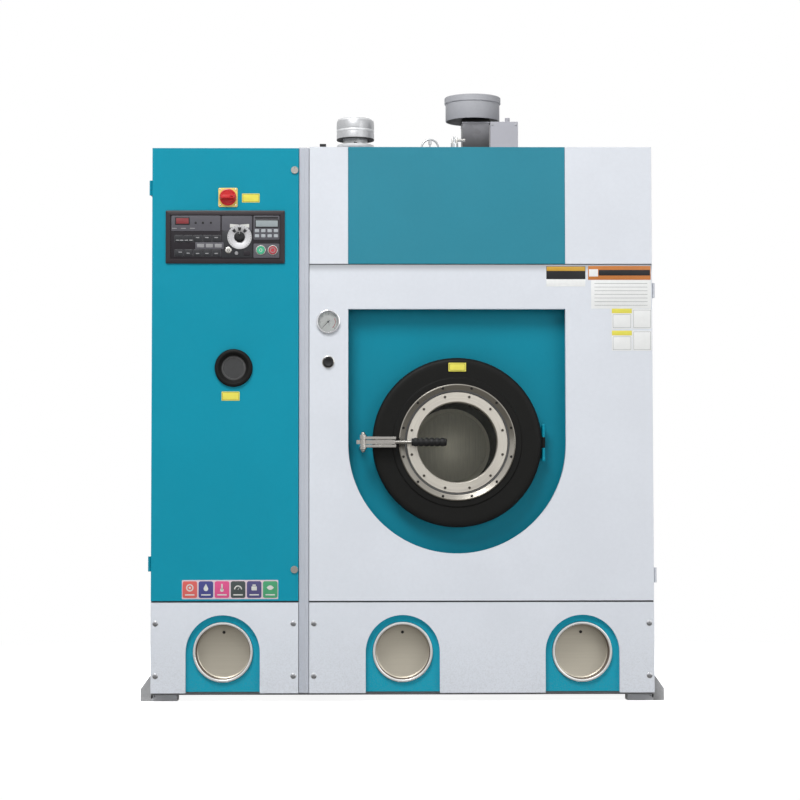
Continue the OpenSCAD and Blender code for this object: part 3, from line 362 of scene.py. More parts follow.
@dataclass(frozen=True)
class Polished(Finish):
    """Chrome or ground steel with faint scuffs."""

    rough: float = 0.12
    metal: float = 1.0
    grain: float = 300.0
    relief: float = 0.000004
    uneven: float = 0.03


@dataclass(frozen=True)
class Moulded(Finish):
    """Moulded plastic or rubber with a fine spark-eroded grain."""

    rough: float = 0.42
    shine: float = 0.3
    grain: float = 1800.0
    relief: float = 0.00004
    uneven: float = 0.04


@dataclass(frozen=True)
class Casting(Finish):
    """Painted cast iron."""

    rough: float = 0.55
    grain: float = 240.0
    relief: float = 0.00025
    uneven: float = 0.08


@dataclass(frozen=True)
class SeamShadedCoat(PowderCoat):
    """Powder coat with painted shade just below a seam, darkest at the seam itself."""

    seam: float = 1.3108  # height of the seam, in metres
    reach: float = 0.026  # how far down the paint is duller
    dull: float = 0.55  # how dark it is at the seam itself

    def tone(self, surface: Surface) -> Channel:
        """Returns the paint's colour with painted shade towards the seam."""
        shade = linear(self.colour, self.dull)
        near = surface.parted()[2].ramp(self.seam - self.reach, self.seam)
        return surface.blend(near, super().tone(surface), shade)


@dataclass(frozen=True)
class UnderCabinetPaintedLight(Casting):
    """Paint with its own colour under the cabinet, painted in place of the shade that falls there, and
    another colour beside it.
    """

    edge: float = 0.7545  # half of the cabinet's width, in metres
    inner: Colour = (84, 85, 90)  # colour under the cabinet

    def tone(self, surface: Surface) -> Channel:
        """Returns one colour inside the edge and the other outside it."""
        outside = surface.parted()[0].math("ABSOLUTE").ramp(self.edge - 0.0004, self.edge)
        return surface.blend(outside, linear(self.inner), super().tone(surface))


@dataclass(frozen=True)
class Galvanised(Finish):
    """Galvanised sheet with its spangles."""

    rough: float = 0.38
    metal: float = 0.85
    uneven: float = 0.05

    def tone(self, surface: Surface) -> Channel:
        """Mixes the spangles, which differ a little in tone.

        Args:
            surface: The material's tree.

        Returns:
            The colour.
        """
        inputs = {"Vector": surface.place, "Scale": 60.0}
        cells = surface.node("ShaderNodeTexVoronoi", None, inputs, "Color")
        value = surface.node("ShaderNodeSeparateColor", None, {0: cells})
        dark = linear(self.colour, 0.86)
        return surface.blend(value.ramp(0.1, 0.9), dark, linear(self.colour))


@dataclass(frozen=True)
class FootShadedSheet(Galvanised):
    """Dark sheet with painted shade that darkens it towards its foot."""

    metal: float = 0.3
    foot: float = 1.668  # height of the foot, in metres
    top: float = 1.8  # height of the top, in metres
    foot_shade: float = 0.75  # share by which the foot is darker

    def tone(self, surface: Surface) -> Channel:
        """Returns the sheet's colour with painted shade towards its foot."""
        black = linear(self.colour, 1.0 - self.foot_shade)
        height = surface.parted()[2].ramp(self.foot, self.top)
        return surface.blend(height, black, super().tone(surface))


@dataclass(frozen=True)
class Glazing(Finish):
    """Clear glass that shows what lies behind it."""

    rough: float = 0.04
    relief: float = 0.000002
    body: float = 0.1  # share of the glass that shows seen straight on

    def build(self) -> bpy.types.Material:
        """Builds glass whose sheen grows towards its edges.

        Returns:
            The material.
        """
        surface = Surface(self.name)
        sheen = surface.node("ShaderNodeFresnel", None, {"IOR": 1.5})
        smudge = surface.noise(18.0, 4.0).ramp(0.45, 0.8, 0.0, 0.05)
        inputs = {
            "Base Color": linear(self.colour),
            "Roughness": surface.noise(40.0).ramp(0.3, 0.7, self.rough, self.rough * 2.0),
            "Alpha": sheen * 0.8 + smudge + self.body,
            "Specular IOR Level": 1.0,
        }
        surface.material.surface_render_method = "BLENDED"
        return surface.close(inputs)


@dataclass(frozen=True)
class Lit(Finish):
    """A display or lamp lens that glows faintly."""

    rough: float = 0.25


# --------------------------------------------------------------------- shapes


class Facing(Enum):
    """The side of the machine that a shape looks to; its own axes are across, up and outwards."""

    FRONT = ((1, 0, 0), (0, 0, -1), (0, 1, 0))
    BACK = ((-1, 0, 0), (0, 0, 1), (0, 1, 0))
    RIGHT = ((0, 0, 1), (1, 0, 0), (0, 1, 0))
    LEFT = ((0, 0, -1), (-1, 0, 0), (0, 1, 0))
    UP = ((1, 0, 0), (0, 1, 0), (0, 0, 1))

    @property
    def matrix(self) -> Matrix:
        """Returns the turn from the shape's own axes to the machine's, with millimetres made metres."""
        return (Matrix(self.value) * MM).to_4x4()


def round_outline(cu: float, cv: float, radius: float, steps: int = 64) -> list[Point2]:
    """Returns a circle's points, anticlockwise.

    Args:
        cu: Middle across.
        cv: Middle up.
        radius: Radius.
        steps: Number of points.

    Returns:
        The points.
    """
    turns = [2.0 * math.pi * i / steps for i in range(steps)]
    return [(cu + radius * math.cos(t), cv + radius * math.sin(t)) for t in turns]


def box_outline(low: Point2, high: Point2, radius: float = 0.0, steps: int = 5) -> list[Point2]:
    """Returns the points of a rectangle with round corners, anticlockwise.

    Args:
        low: Lower left corner.
        high: Upper right corner.
        radius: Radius of the corners.
        steps: Steps in each corner.

    Returns:
        The points.
    """
    if radius <= 0.0:
        return [low, (high[0], low[1]), high, (low[0], high[1])]
    points = []
    corners = (
        (high[0] - radius, low[1] + radius, -90.0),
        (high[0] - radius, high[1] - radius, 0.0),
        (low[0] + radius, high[1] - radius, 90.0),
        (low[0] + radius, low[1] + radius, 180.0),
    )
    for cu, cv, start in corners:
        for i in range(steps + 1):
            turn = math.radians(start + 90.0 * i / steps)
            points.append((cu + radius * math.cos(turn), cv + radius * math.sin(turn)))
    return points


def raised(outline: list[Point2], out: float) -> list[Point3]:
    """Returns an outline's points at one distance outwards."""
    return [(u, v, out) for u, v in outline]


def placed(name: str, data: bpy.types.ID) -> bpy.types.Object:
    """Makes an object of its data, puts it in the scene and returns it."""
    made = bpy.data.objects.new(name, data)
    bpy.context.scene.collection.objects.link(made)
    return made


class Stock:
    """A mesh in the making, in its own axes: across, up and outwards."""

    def __init__(self) -> None:
        """Starts an empty mesh."""
        self.mesh = bmesh.new()

    def slab(self, outline: list[Point2], back: float, front: float, edge: float = 0.0) -> "Stock":
        """Adds a plate with a chamfered and rounded front edge.

        Args:
            outline: Its points, anticlockwise.
            back: How far out its back lies.
            front: How far out its front lies.
            edge: Width of the round at the front edge.

        Returns:
            The same stock.
        """
        rear = [self.mesh.verts.new((u, v, back)) for u, v in outline]
        fore = [self.mesh.verts.new((u, v, front)) for u, v in outline]
        count = len(outline)
        faces = [self.mesh.faces.new(fore), self.mesh.faces.new(rear[::-1])]
        for i in range(count):
            j = (i + 1) % count
            faces.append(self.mesh.faces.new((rear[i], rear[j], fore[j], fore[i])))
        if edge > 0.0:
            rim = list(faces[0].edges)
            bmesh.ops.bevel(self.mesh, geom=rim, offset=edge, segments=2, profile=0.6, affect="EDGES")
        return self

    def block(self, low: Point3, high: Point3, edge: float = 0.0) -> "Stock":
        """Adds a box between two corners, rounded at its front edge."""
        return self.slab(box_outline(low[:2], high[:2]), low[2], high[2], edge)

    def loft(self, loops: list[list[Point3]], closed: bool = False) -> "Stock":
        """Joins loops of equally many points, and caps both ends.

        Args:
            loops: The loops in order. A loop of one point is a tip.
            closed: True if the last loop joins the first, so that nothing is capped.

        Returns:
            The same stock.
        """
        made = [[self.mesh.verts.new(point) for point in loop] for loop in loops]
        pairs = list(zip(made, made[1:]))
        if closed:
            pairs.append((made[-1], made[0]))
        else:
            for end in (made[0], made[-1]):
                if len(end) > 2:
                    self.mesh.faces.new(end)
        count = max(len(loop) for loop in loops)
        for first, second in pairs:
            for i in range(count):
                j = (i + 1) % count
                corners = [first[i % len(first)], first[j % len(first)]]
                corners += [second[j % len(second)], second[i % len(second)]]
                unique = list(dict.fromkeys(corners))
                if len(unique) > 2:
                    self.mesh.faces.new(unique)
        return self

    def tray(
        self, low: Point2, high: Point2, radius: float, back: float, front: float,
        edge: float = 1.0, lip: float = 0.0, floor: float = 0.0,
    ) -> "Stock":
        """Adds a round-cornered panel, flat or with a sunk middle.

        Args:
            low: Lower left corner.
            high: Upper right corner.
            radius: Radius of the corners.
            back: How far out its back lies.
            front: How far out its front lies.
            edge: Width of the rounded front edge.
            lip: Width of the rim round a sunk middle, or 0 for none.
            floor: How far out the sunk middle lies.

        Returns:
            The same stock.
        """
        levels = [(0.0, back), (0.0, front - edge), (edge * 0.3, front - edge * 0.3), (edge, front)]
        if lip > 0.0:
            levels += [(lip - edge * 0.5, front), (lip, front - edge * 0.5), (lip, floor)]
        loops = []
        for inset, out in levels:
            bottom = (low[0] + inset, low[1] + inset)
            top = (high[0] - inset, high[1] - inset)
            loops.append(raised(box_outline(bottom, top, max(radius - inset, 0.4)), out))
        return self.loft(loops)

    def turned(self, cu: float, cv: float, profile: list[Point2], steps: int = 64) -> "Stock":
        """Adds a shape turned about an axis that points outwards.

        Args:
            cu: Axis across.
            cv: Axis up.
            profile: Points of radius and height, which start and end on the axis or make a ring.
            steps: Steps round the axis.

        Returns:
            The same stock.
        """
        loops = []
        for radius, out in profile:
            outline = round_outline(cu, cv, radius, steps) if radius > TINY else [(cu, cv)]
            loops.append(raised(outline, out))
        return self.loft(loops, profile[0][0] > TINY)

    def pipe(self, path: list[Point3], radius: float, steps: int = 10) -> "Stock":
        """Adds a round wire or pipe along a path.

        Args:
            path: Its points.
            radius: Its radius.
            steps: Its sides.

        Returns:
            The same stock.
        """
        points = [Vector(p) for p in path]
        turns = [2.0 * math.pi * k / steps for k in range(steps)]
        last = side = None
        for i, point in enumerate(points):
            ahead = (points[min(i + 1, len(points) - 1)] - points[max(i - 1, 0)]).normalized()
            if side is None:
                side = ahead.orthogonal().normalized()
            side = (side - ahead * side.dot(ahead)).normalized()
            other = ahead.cross(side)
            spokes = [(side * math.cos(t) + other * math.sin(t)) * radius for t in turns]
            ring = [self.mesh.verts.new(point + spoke) for spoke in spokes]
            if last is None:
                self.mesh.faces.new(ring[::-1])
            else:
                for k in range(steps):
                    m = (k + 1) % steps
                    self.mesh.faces.new((last[k], last[m], ring[m], ring[k]))
            last = ring
        self.mesh.faces.new(last)
        return self

    def object(self, name: str, facing: Facing) -> bpy.types.Object:
        """Turns the stock into an object with sharp edges marked.

        Args:
            name: The object's name.
            facing: The side that the shape looks to.

        Returns:
            The object, at the origin.
        """
        self.mesh.transform(facing.matrix)
        bmesh.ops.recalc_face_normals(self.mesh, faces=self.mesh.faces)
        return mesh_object(name, self.mesh)


def mesh_object(name: str, mesh: bmesh.types.BMesh) -> bpy.types.Object:
    """Makes an object from a mesh, smooth but for its sharp edges.

    Args:
        name: The object's name.
        mesh: The mesh, in metres, which is freed.

    Returns:
        The object.
    """
    for edge in mesh.edges:
        edge.smooth = len(edge.link_faces) == 2 and edge.calc_face_angle(4.0) < SMOOTH_BELOW
    for face in mesh.faces:
        face.smooth = True
    data = bpy.data.meshes.new(name)
    mesh.to_mesh(data)
    mesh.free()
    return placed(name, data)


def plain(made: bpy.types.Object) -> bpy.types.Object:
    """Turns an object with modifiers into one with a plain mesh.

    Args:
        made: The object, which is removed.

    Returns:
        The new object of the same name.
    """
    graph = bpy.context.evaluated_depsgraph_get()
    data = bpy.data.meshes.new_from_object(made.evaluated_get(graph), depsgraph=graph)
    name = made.name
    bpy.data.objects.remove(made, do_unlink=True)
    return placed(name, data)


class Pattern(Graph):
    """A Geometry Nodes tree that sets copies of one shape, with its sizes as named inputs."""

    SIZES: dict[str, str] = {}

    def __init__(self, name: str) -> None:
        """Starts the tree and its inputs.

        Args:
            name: The tree's name.
        """
        super().__init__(bpy.data.node_groups.new(name, "GeometryNodeTree"))
        new = self.tree.interface.new_socket
        new("Geometry", in_out="OUTPUT", socket_type="NodeSocketGeometry")
        new("Geometry", in_out="INPUT", socket_type="NodeSocketGeometry")
        kinds = {**self.SIZES, "Shape": "NodeSocketObject", "Finish": "NodeSocketMaterial"}
        made = {label: new(label, in_out="INPUT", socket_type=kind) for label, kind in kinds.items()}
        self.keys = {label: socket.identifier for label, socket in made.items()}
        self.inlet = self.tree.nodes.new("NodeGroupInput")
        self.close(*self.layout())

    def size(self, label: str) -> Channel:
        """Returns one of the named inputs."""
        return Channel(self, self.inlet.outputs[label])

    def layout(self) -> tuple[Channel, Channel]:
        """Returns the points that carry the copies, and their turns."""
        raise NotImplementedError

    def points(self, count: Channel, places: Channel) -> Channel:
        """Returns a number of points at given places."""
        line = self.node("GeometryNodeMeshLine", {"mode": "OFFSET"}, {"Count": count})
        return self.node("GeometryNodeSetPosition", None, {"Geometry": line, "Position": places})

    def close(self, points: Channel, turns: Channel) -> None:
        """Sets the copies, makes them real and gives them their finish.

        Args:
            points: Where they go.
            turns: How they are turned.
        """
        shape = self.node("GeometryNodeObjectInfo", None, {"Object": self.size("Shape")}, "Geometry")
        inputs = {"Points": points, "Instance": shape, "Rotation": turns}
        copies = self.node("GeometryNodeInstanceOnPoints", None, inputs)
        real = self.node("GeometryNodeRealizeInstances", None, {"Geometry": copies})
        inputs = {"Geometry": real, "Material": self.size("Finish")}
        coated = self.node("GeometryNodeSetMaterial", None, inputs)
        outlet = self.tree.nodes.new("NodeGroupOutput")
        self.tree.links.new(coated.socket, outlet.inputs["Geometry"])

    def cell(self, columns: str) -> tuple[Channel, Channel]:
        """Returns the column and the row of each copy; columns names the input with their number."""
        index = self.node("GeometryNodeInputIndex")
        wide = self.size(columns)
        return index % wide, (index / wide).math("FLOOR")

    def make(
        self, name: str, stock: Stock, finish: Finish, facing: Facing,
        marks: list[Point3] | None = None, **sizes: object,
    ) -> bpy.types.Object:
        """Sets the copies and returns them as one plain mesh.

        Args:
            name: Name of the piece.
            stock: The shape that is repeated.
            finish: Its finish.
            facing: The side that the shape looks to.
            marks: Places in millimetres, for a pattern that takes them.
            sizes: Values of the named inputs, in metres and radians, with _ for a space.

        Returns:
            The piece.
        """
        shape = stock.object(f"{name}_shape", facing)
        data = bpy.data.meshes.new(name)
        data.from_pydata([Vector(mark) * MM for mark in marks or []], [], [])
        holder = placed(name, data)
        modifier = holder.modifiers.new("copies", "NODES")
        modifier.node_group = self.tree
        values = {label.replace("_", " "): value for label, value in sizes.items()}
        for label, value in {**values, "Shape": shape, "Finish": finish.material}.items():
            modifier[self.keys[label]] = value
        made = plain(holder)
        bpy.data.objects.remove(shape, do_unlink=True)
        return made


class Lattice(Pattern):
    """Copies in straight rows."""

    SIZES = {
        "Columns": "NodeSocketInt",
        "Rows": "NodeSocketInt",
        "Column step": "NodeSocketVector",
        "Row step": "NodeSocketVector",
        "Start": "NodeSocketVector",
    }

    def layout(self) -> tuple[Channel, Channel]:
        """Places the copies in a lattice and doesn't turn them.

        Returns:
            The points and the turns.
        """
        column, row = self.cell("Columns")
        across = self.vector("MULTIPLY", self.size("Column step"), self.pack(column, column, column))
        up = self.vector("MULTIPLY", self.size("Row step"), self.pack(row, row, row))
        place = self.vector("ADD", self.vector("ADD", self.size("Start"), across), up)
        count = self.size("Columns") * self.size("Rows")
        return self.points(count, place), self.pack(0.0, 0.0, 0.0)


class Arc(Pattern):
    """Copies round an axis along Y, in one row or several behind each other."""

    SIZES = {
        "Count": "NodeSocketInt",
        "Rows": "NodeSocketInt",
        "Radius": "NodeSocketFloat",
        "First angle": "NodeSocketFloat",
        "Angle step": "NodeSocketFloat",
        "Row step": "NodeSocketFloat",
        "Centre": "NodeSocketVector",
    }

    def layout(self) -> tuple[Channel, Channel]:
        """Places the copies on circles and turns each upright to its circle.

        Returns:
            The points and the turns.
        """
        column, row = self.cell("Count")
        angle = self.size("First angle") + column * self.size("Angle step")
        radius = self.size("Radius")
        depth = row * self.size("Row step")
        offset = self.pack(angle.math("SINE") * radius, depth, angle.math("COSINE") * radius)
        place = self.vector("ADD", self.size("Centre"), offset)
        count = self.size("Count") * self.size("Rows")
        return self.points(count, place), self.pack(0.0, angle, 0.0)


class Marks(Pattern):
    """Copies at marked places."""

    def layout(self) -> tuple[Channel, Channel]:
        """Returns the marks, whose copies aren't turned."""
        return self.size("Geometry"), self.pack(0.0, 0.0, 0.0)


class Patterns:
    """The three Geometry Nodes trees, made once."""

    def __init__(self) -> None:
        """Builds the trees."""
        self.lattice = Lattice("copies in rows")
        self.arc = Arc("copies round an axis")
        self.marks = Marks("copies at marks")


@dataclass
class Assembly:
    """A sub-assembly, which finishes its pieces and puts them on a body."""

    patterns: Patterns  # the Geometry Nodes trees
    body: str = "cabinet"  # the body that the pieces ride on
    slot: str = "screw_steel"  # their usual material slot in the record
    facing: Facing = Facing.FRONT  # the side that they usually look to

    def on(self, body: str, slot: str) -> "Assembly":
        """Returns an assembly that puts its pieces on another body."""
        return Assembly(self.patterns, body, slot)

    def fit(
        self, made: bpy.types.Object, finish: Finish, *replaced: str, slot: str = ""
    ) -> bpy.types.Object:
        """Gives a piece its finish and its body.

        Args:
            made: The piece.
            finish: Its finish.
            replaced: The nodes that it stands for.
            slot: Its material slot, if not the usual one; not used.

        Returns:
            The same piece.
        """
        slot = slot or self.slot
        made.data.materials.clear()
        made.data.materials.append(finish.material)
        made.data.polygons.foreach_set("material_index", [0] * len(made.data.polygons))
        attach(made, self.body)
        if replaced:
            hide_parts(*replaced)
        LOG.info("%s: %d faces on %s", made.name, len(made.data.polygons), self.body)
        return made

    def add(
        self, name: str, stock: Stock, finish: Finish, *replaced: str, slot: str = "",
        facing: Facing | None = None,
    ) -> None:
        """Makes a piece of some stock and fits it."""
        self.fit(stock.object(name, facing or self.facing), finish, *replaced, slot=slot)

    def turn(
        self, name: str, centre: Point2, profile: list[Point2], finish: Finish, *replaced: str,
        steps: int = 64, **how: object,
    ) -> None:
        """Adds a turned piece; how says its slot and the side that it looks to."""
        self.add(name, Stock().turned(*centre, profile, steps), finish, *replaced, **how)

    def tray(
        self, name: str, low: Point2, high: Point2, shape: tuple[float, ...], finish: Finish,
        *replaced: str, **how: object,
    ) -> None:
        """Adds a round-cornered piece; shape holds what Stock.tray takes after its corners."""
        self.add(name, Stock().tray(low, high, *shape), finish, *replaced, **how)

    def rows(
        self, name: str, stock: Stock, finish: Finish, start: Point3, step: Point3, count: int,
        *replaced: str, row_step: Point3 = (0.0, 0.0, 0.0), rows: int = 1, slot: str = "",
        facing: Facing = Facing.FRONT,
    ) -> None:
        """Sets a shape in straight rows.

        Args:
            name: Name of the piece.
            stock: The shape.
            finish: Its finish.
            start: Place of the first copy.
            step: Step to the next copy in a row.
            count: Copies in a row.
            replaced: The nodes that the piece stands for.
            row_step: Step to the next row.
            rows: Number of rows.
            slot: Its material slot, if not the usual one.
            facing: The side that the shape looks to.
        """
        made = self.patterns.lattice.make(
            name, stock, finish, facing, Columns=count, Rows=rows, Column_step=Vector(step) * MM,
            Row_step=Vector(row_step) * MM, Start=Vector(start) * MM,
        )
        self.fit(made, finish, *replaced, slot=slot)

    def ring(
        self, name: str, stock: Stock, finish: Finish, centre: Point3, radius: float, count: int,
        *replaced: str, first: float = 0.0, sweep: float = 360.0, slot: str = "",
    ) -> None:
        """Sets a shape round an axis along Y.

        Args:
            name: Name of the piece.
            stock: The shape, as it stands at the top of the circle.
            finish: Its finish.
            centre: Middle of the circle.
            radius: Radius of the circle.
            count: Number of copies.
            replaced: The nodes that the piece stands for.
            first: Angle of the first copy, clockwise from the top seen from the front, in degrees.
            sweep: Angle that all copies share, in degrees.
            slot: Its material slot, if not the usual one.
        """
        made = self.patterns.arc.make(
            name, stock, finish, Facing.FRONT, Count=count, Rows=1, Radius=radius * MM,
            First_angle=math.radians(first), Angle_step=math.radians(sweep / count), Row_step=0.0,
            Centre=Vector(centre) * MM,
        )
        self.fit(made, finish, *replaced, slot=slot)

    def spots(
        self, name: str, stock: Stock, finish: Finish, marks: list[Point3], *replaced: str, slot: str = ""
    ) -> None:
        """Sets a shape that looks to the front at marked places."""
        made = self.patterns.marks.make(name, stock, finish, Facing.FRONT, marks)
        self.fit(made, finish, *replaced, slot=slot)

    def dress(self, node: str, finish: Finish) -> None:
        """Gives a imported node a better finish."""
        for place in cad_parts[node].material_slots:
            place.material = finish.material
        LOG.info("%s: dressed", node)

    def soften(
        self, node: str, finish: Finish, edge: float = 1.0, slot: str = "", part: str = "skin",
        span: Point2 = (-2000.0, 2000.0),
    ) -> None:
        """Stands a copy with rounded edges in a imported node's place.

        Args:
            node: The node's name.
            finish: Its finish.
            edge: Width of the rounded edges.
            slot: Its material slot, if not the usual one.
            part: Name of the part of the node that the copy keeps.
            span: Lowest and highest x of that part.
        """
        mesh = bmesh.new()
        mesh.from_mesh(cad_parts[node].data)
        bmesh.ops.remove_doubles(mesh, verts=mesh.verts, dist=MERGE)
        away = [v for v in mesh.verts if not span[0] * MM < v.co.x < span[1] * MM]
        bmesh.ops.delete(mesh, geom=away, context="VERTS")
        flat = math.radians(0.5)
        bmesh.ops.dissolve_limit(mesh, angle_limit=flat, verts=mesh.verts, edges=mesh.edges)
        bmesh.ops.dissolve_degenerate(mesh, dist=MERGE, edges=mesh.edges)
        made = mesh_object(f"{node}_{part}", mesh)
        bevel = made.modifiers.new("edges", "BEVEL")
        bevel.width = edge * MM
        bevel.segments = 2
        bevel.limit_method = "ANGLE"
        bevel.angle_limit = BEVEL_ABOVE
        bevel.use_clamp_overlap = True
        weights = made.modifiers.new("normals", "WEIGHTED_NORMAL")
        weights.keep_sharp = False
        self.fit(plain(made), finish, node, slot=slot)


def cross_screw(radius: float, height: float) -> Stock:
    """Returns a pan head screw with a cross recess, its seat at 0.

    Args:
        radius: Radius of the head.
        height: Height of the head.

    Returns:
        The screw's head.
    """
    arm, half = radius * 0.55, radius * 0.15
    corners = [(arm, -half), (arm, half), (half, half)]
    cross = []
    for turn in range(4):
        c, s = (1, 0, -1, 0)[turn], (0, 1, 0, -1)[turn]
        cross += [(u * c - v * s, u * s + v * c) for u, v in corners]
    pairs = zip(cross, cross[1:] + cross[:1])
    outline = [p for a, b in pairs for p in (a, ((a[0] + b[0]) / 2, (a[1] + b[1]) / 2))]
    turns = [math.radians(-15 + 15 * i) for i in range(24)]
    levels = [(1.0, -0.05), (1.0, 0.4), (0.95, 0.66), (0.84, 0.85), (0.68, 0.96)]
    loops = [
        [(radius * r * math.cos(t), radius * r * math.sin(t), height * h) for t in turns]
        for r, h in levels
    ]
    return Stock().loft(loops + [raised(outline, height * h) for h in (1.0, 0.4)])


def socket_screw(radius: float, height: float) -> Stock:
    """Returns a cap screw with a hexagon socket, its seat at 0.

    Args:
        radius: Radius of the head.
        height: Height of the head.

    Returns:
        The screw's head.
    """
    levels = [(1.0, -0.04), (1.0, 0.82), (0.86, 1.0), (0.56, 1.0), (0.5, 0.9), (0.48, 0.3)]
    return Stock().loft([raised(round_outline(0, 0, radius * r, 12), height * h) for r, h in levels])


def hex_nut(radius: float, height: float, stud: float = 0.0) -> Stock:
    """Returns a hexagon nut or head on its washer, its seat at 0.

    Args:
        radius: Radius to the corners.
        height: Height of the nut.
        stud: How far a stud stands out of the nut.

    Returns:
        The nut.
    """
    stock = Stock().turned(0, 0, [(0, -0.3), (radius * 1.15, -0.3), (radius * 1.15, 1.2), (0, 1.2)], 20)
    levels = ((radius, 1.0), (radius, height - 0.8), (radius * 0.9, height))
    stock.loft([raised(round_outline(0, 0, r, 6), h) for r, h in levels])
    if stud > 0.0:
        core = radius * 0.5
        tip = height + stud
        stock.turned(0, 0, [(0, 1), (core, 1), (core, tip - 1), (core * 0.8, tip), (0, tip)], 12)
    return stock


# -------------------------------------------------------------------- palette

def printed(name: str, colour: tuple[int, int, int]) -> Moulded:
    """Returns a printed mark's finish."""
    return Moulded(name, colour, rough=0.5, relief=0.000002)


def film(name: str, colour: tuple[int, int, int]) -> Moulded:
    """Returns a stuck-on film's finish."""
    return Moulded(name, colour, rough=0.35, relief=0.000004)


DOOR_AXIS = (0.164, 0.775)
TEAL = PowderCoat("teal_powder_coat", (8, 141, 165), coat=0.03, shine=0.16)
# The arch plates are the teal lightened: painted light against the shade in the arches.
LIT_ARCH_TEAL = PowderCoat("arch_teal_powder_coat", (12, 155, 180), coat=0.03, shine=0.16)
PALE_TEAL = PowderCoat("pale_teal_powder_coat", (46, 131, 151), coat=0.04, shine=0.2)
WHITE = PowderCoat("white_powder_coat", (216, 220, 227))
# The service panel has painted shade below the header's seam.
PANEL_WHITE = SeamShadedCoat("white_panel_coat", (216, 220, 227))
# The recess is the door's teal darkened as painted shade, with more painted shade below its top edge.
SHADED_RECESS_TEAL = SeamShadedCoat(
    "recess_teal_coat", (7, 132, 155), coat=0.03, shine=0.16, seam=1.191, reach=0.03
)
POST = PowderCoat("grey_powder_coat", (184, 188, 197))
FRAME_PAINT = PowderCoat("frame_primer", (118, 120, 124), rough=0.5, coat=0.0, dust=0.3)
RAIL_PAINT = PowderCoat("rail_paint", (112, 113, 117), rough=0.5, coat=0.0, dust=0.4)
# The feet are painted lighter under the cabinet: painted light against the shade there; the dust is real
# dust.
FOOT_PAINT = UnderCabinetPaintedLight("foot_paint", (182, 183, 185), dust=0.2, inner=(214, 215, 219))
# The roof is the panels' white darkened: painted shade against the strong light from above.
SHADED_ROOF_PAINT = PowderCoat("roof_powder_coat", (188, 191, 197))
BOX_PAINT = PowderCoat("box_grey_paint", (178, 178, 185), dust=0.0)
BACKPLATE = PowderCoat("backplate_paint", (196, 186, 160), rough=0.42, dust=0.0)
SCREW = Polished("nickel_plate", (205, 204, 200), rough=0.24)
ZINC_SCREW = Polished("zinc_plate", (188, 190, 192), rough=0.3)
BLACK_OXIDE = Polished("black_oxide", (58, 57, 56), rough=0.42)
PANEL_SCREW = Polished("panel_screw_steel", (160, 161, 165), rough=0.38)
BOLT_STEEL = Polished("dull_bolt_steel", (92, 88, 82), rough=0.5)
CHROME = Polished("chrome_plate", (222, 223, 226), rough=0.1)
LEVER_STEEL = Polished("lever_steel", (178, 175, 170), rough=0.26)
SHAFT_STEEL = Polished("ground_steel", (170, 171, 172), rough=0.28)
BRASS = Polished("brass", (188, 152, 92), rough=0.3)
DIAL_SILVER = Brushed(
    "dial_silver", (206, 206, 208), rough=0.3, metal=0.8, way=Grain.ROUND, centre=(-0.49, 1.394)
)
BRIGHT_RING = Brushed(
    "bright_stainless", (226, 226, 225), rough=0.3, metal=0.7, way=Grain.ALONG_Z, contrast=0.08
)
HATCH_LID = Brushed(
    "hatch_lid_stainless", (194, 188, 174), rough=0.42, way=Grain.ALONG_X, contrast=0.06, relief=0.000006
)
RING_STEEL = Brushed("ring_stainless", (158, 154, 146), rough=0.3, way=Grain.ROUND, centre=DOOR_AXIS)
CLAMP_STEEL = Brushed("clamp_stainless", (216, 211, 201), rough=0.36, way=Grain.ROUND, centre=DOOR_AXIS)
DRUM_STEEL = Brushed("drum_stainless", (176, 174, 166), rough=0.38, way=Grain.ALONG_Y)
# The hub is lightened and has a faint light of its own: painted light in place of the light that the closed
# drum lacks.
HUB_STEEL = Brushed(
    "hub_stainless", (222, 219, 200), rough=0.46, metal=0.9, way=Grain.ALONG_Z, lamp_and_painted_glow=0.07
)
# The drum's back wall is darkened stainless: painted shade of the dim drum.
SHADED_WALL_STEEL = Brushed(
    "drum_wall_stainless", (84, 82, 76), rough=0.5, metal=0.4, way=Grain.ROUND, centre=DOOR_AXIS
)
VESSEL_STEEL = Brushed("vessel_stainless", (190, 190, 188), rough=0.34, way=Grain.ALONG_Z)
TANK_STEEL = Brushed("tank_sheet", (150, 152, 154), rough=0.45, way=Grain.ALONG_X)
TUB_STEEL = Brushed("tub_sheet", (158, 158, 156), rough=0.4, way=Grain.ALONG_Y)
COWL_GREY = Brushed("cowl_brushed_band", (194, 195, 197), rough=0.42, metal=0.6, way=Grain.ALONG_X)
CAST_IRON = Casting("cast_iron_paint", (92, 96, 99))
MOTOR_PAINT = Casting("motor_paint", (58, 92, 126), grain=500.0, relief=0.00012)
PUMP_PAINT = Casting("pump_paint", (52, 86, 128), grain=500.0, relief=0.00012)
COMPRESSOR_PAINT = Casting("compressor_paint", (38, 39, 41), grain=400.0, relief=0.0001)
FAN_PAINT = Casting("fan_housing_paint", (172, 173, 178), grain=600.0, relief=0.00008, uneven=0.04)
ZINC = Galvanised("galvanised_sheet", (176, 180, 182))
COWL_SHEET = Galvanised("cowl_aluminium", (228, 229, 230), rough=0.45, metal=0.4)
# The duct darkens towards the roof: painted shade.
DUCT_PAINT = FootShadedSheet(
    "dark_duct_sheet", (130, 130, 134), rough=0.5, foot=1.69, top=1.79, foot_shade=0.9
)
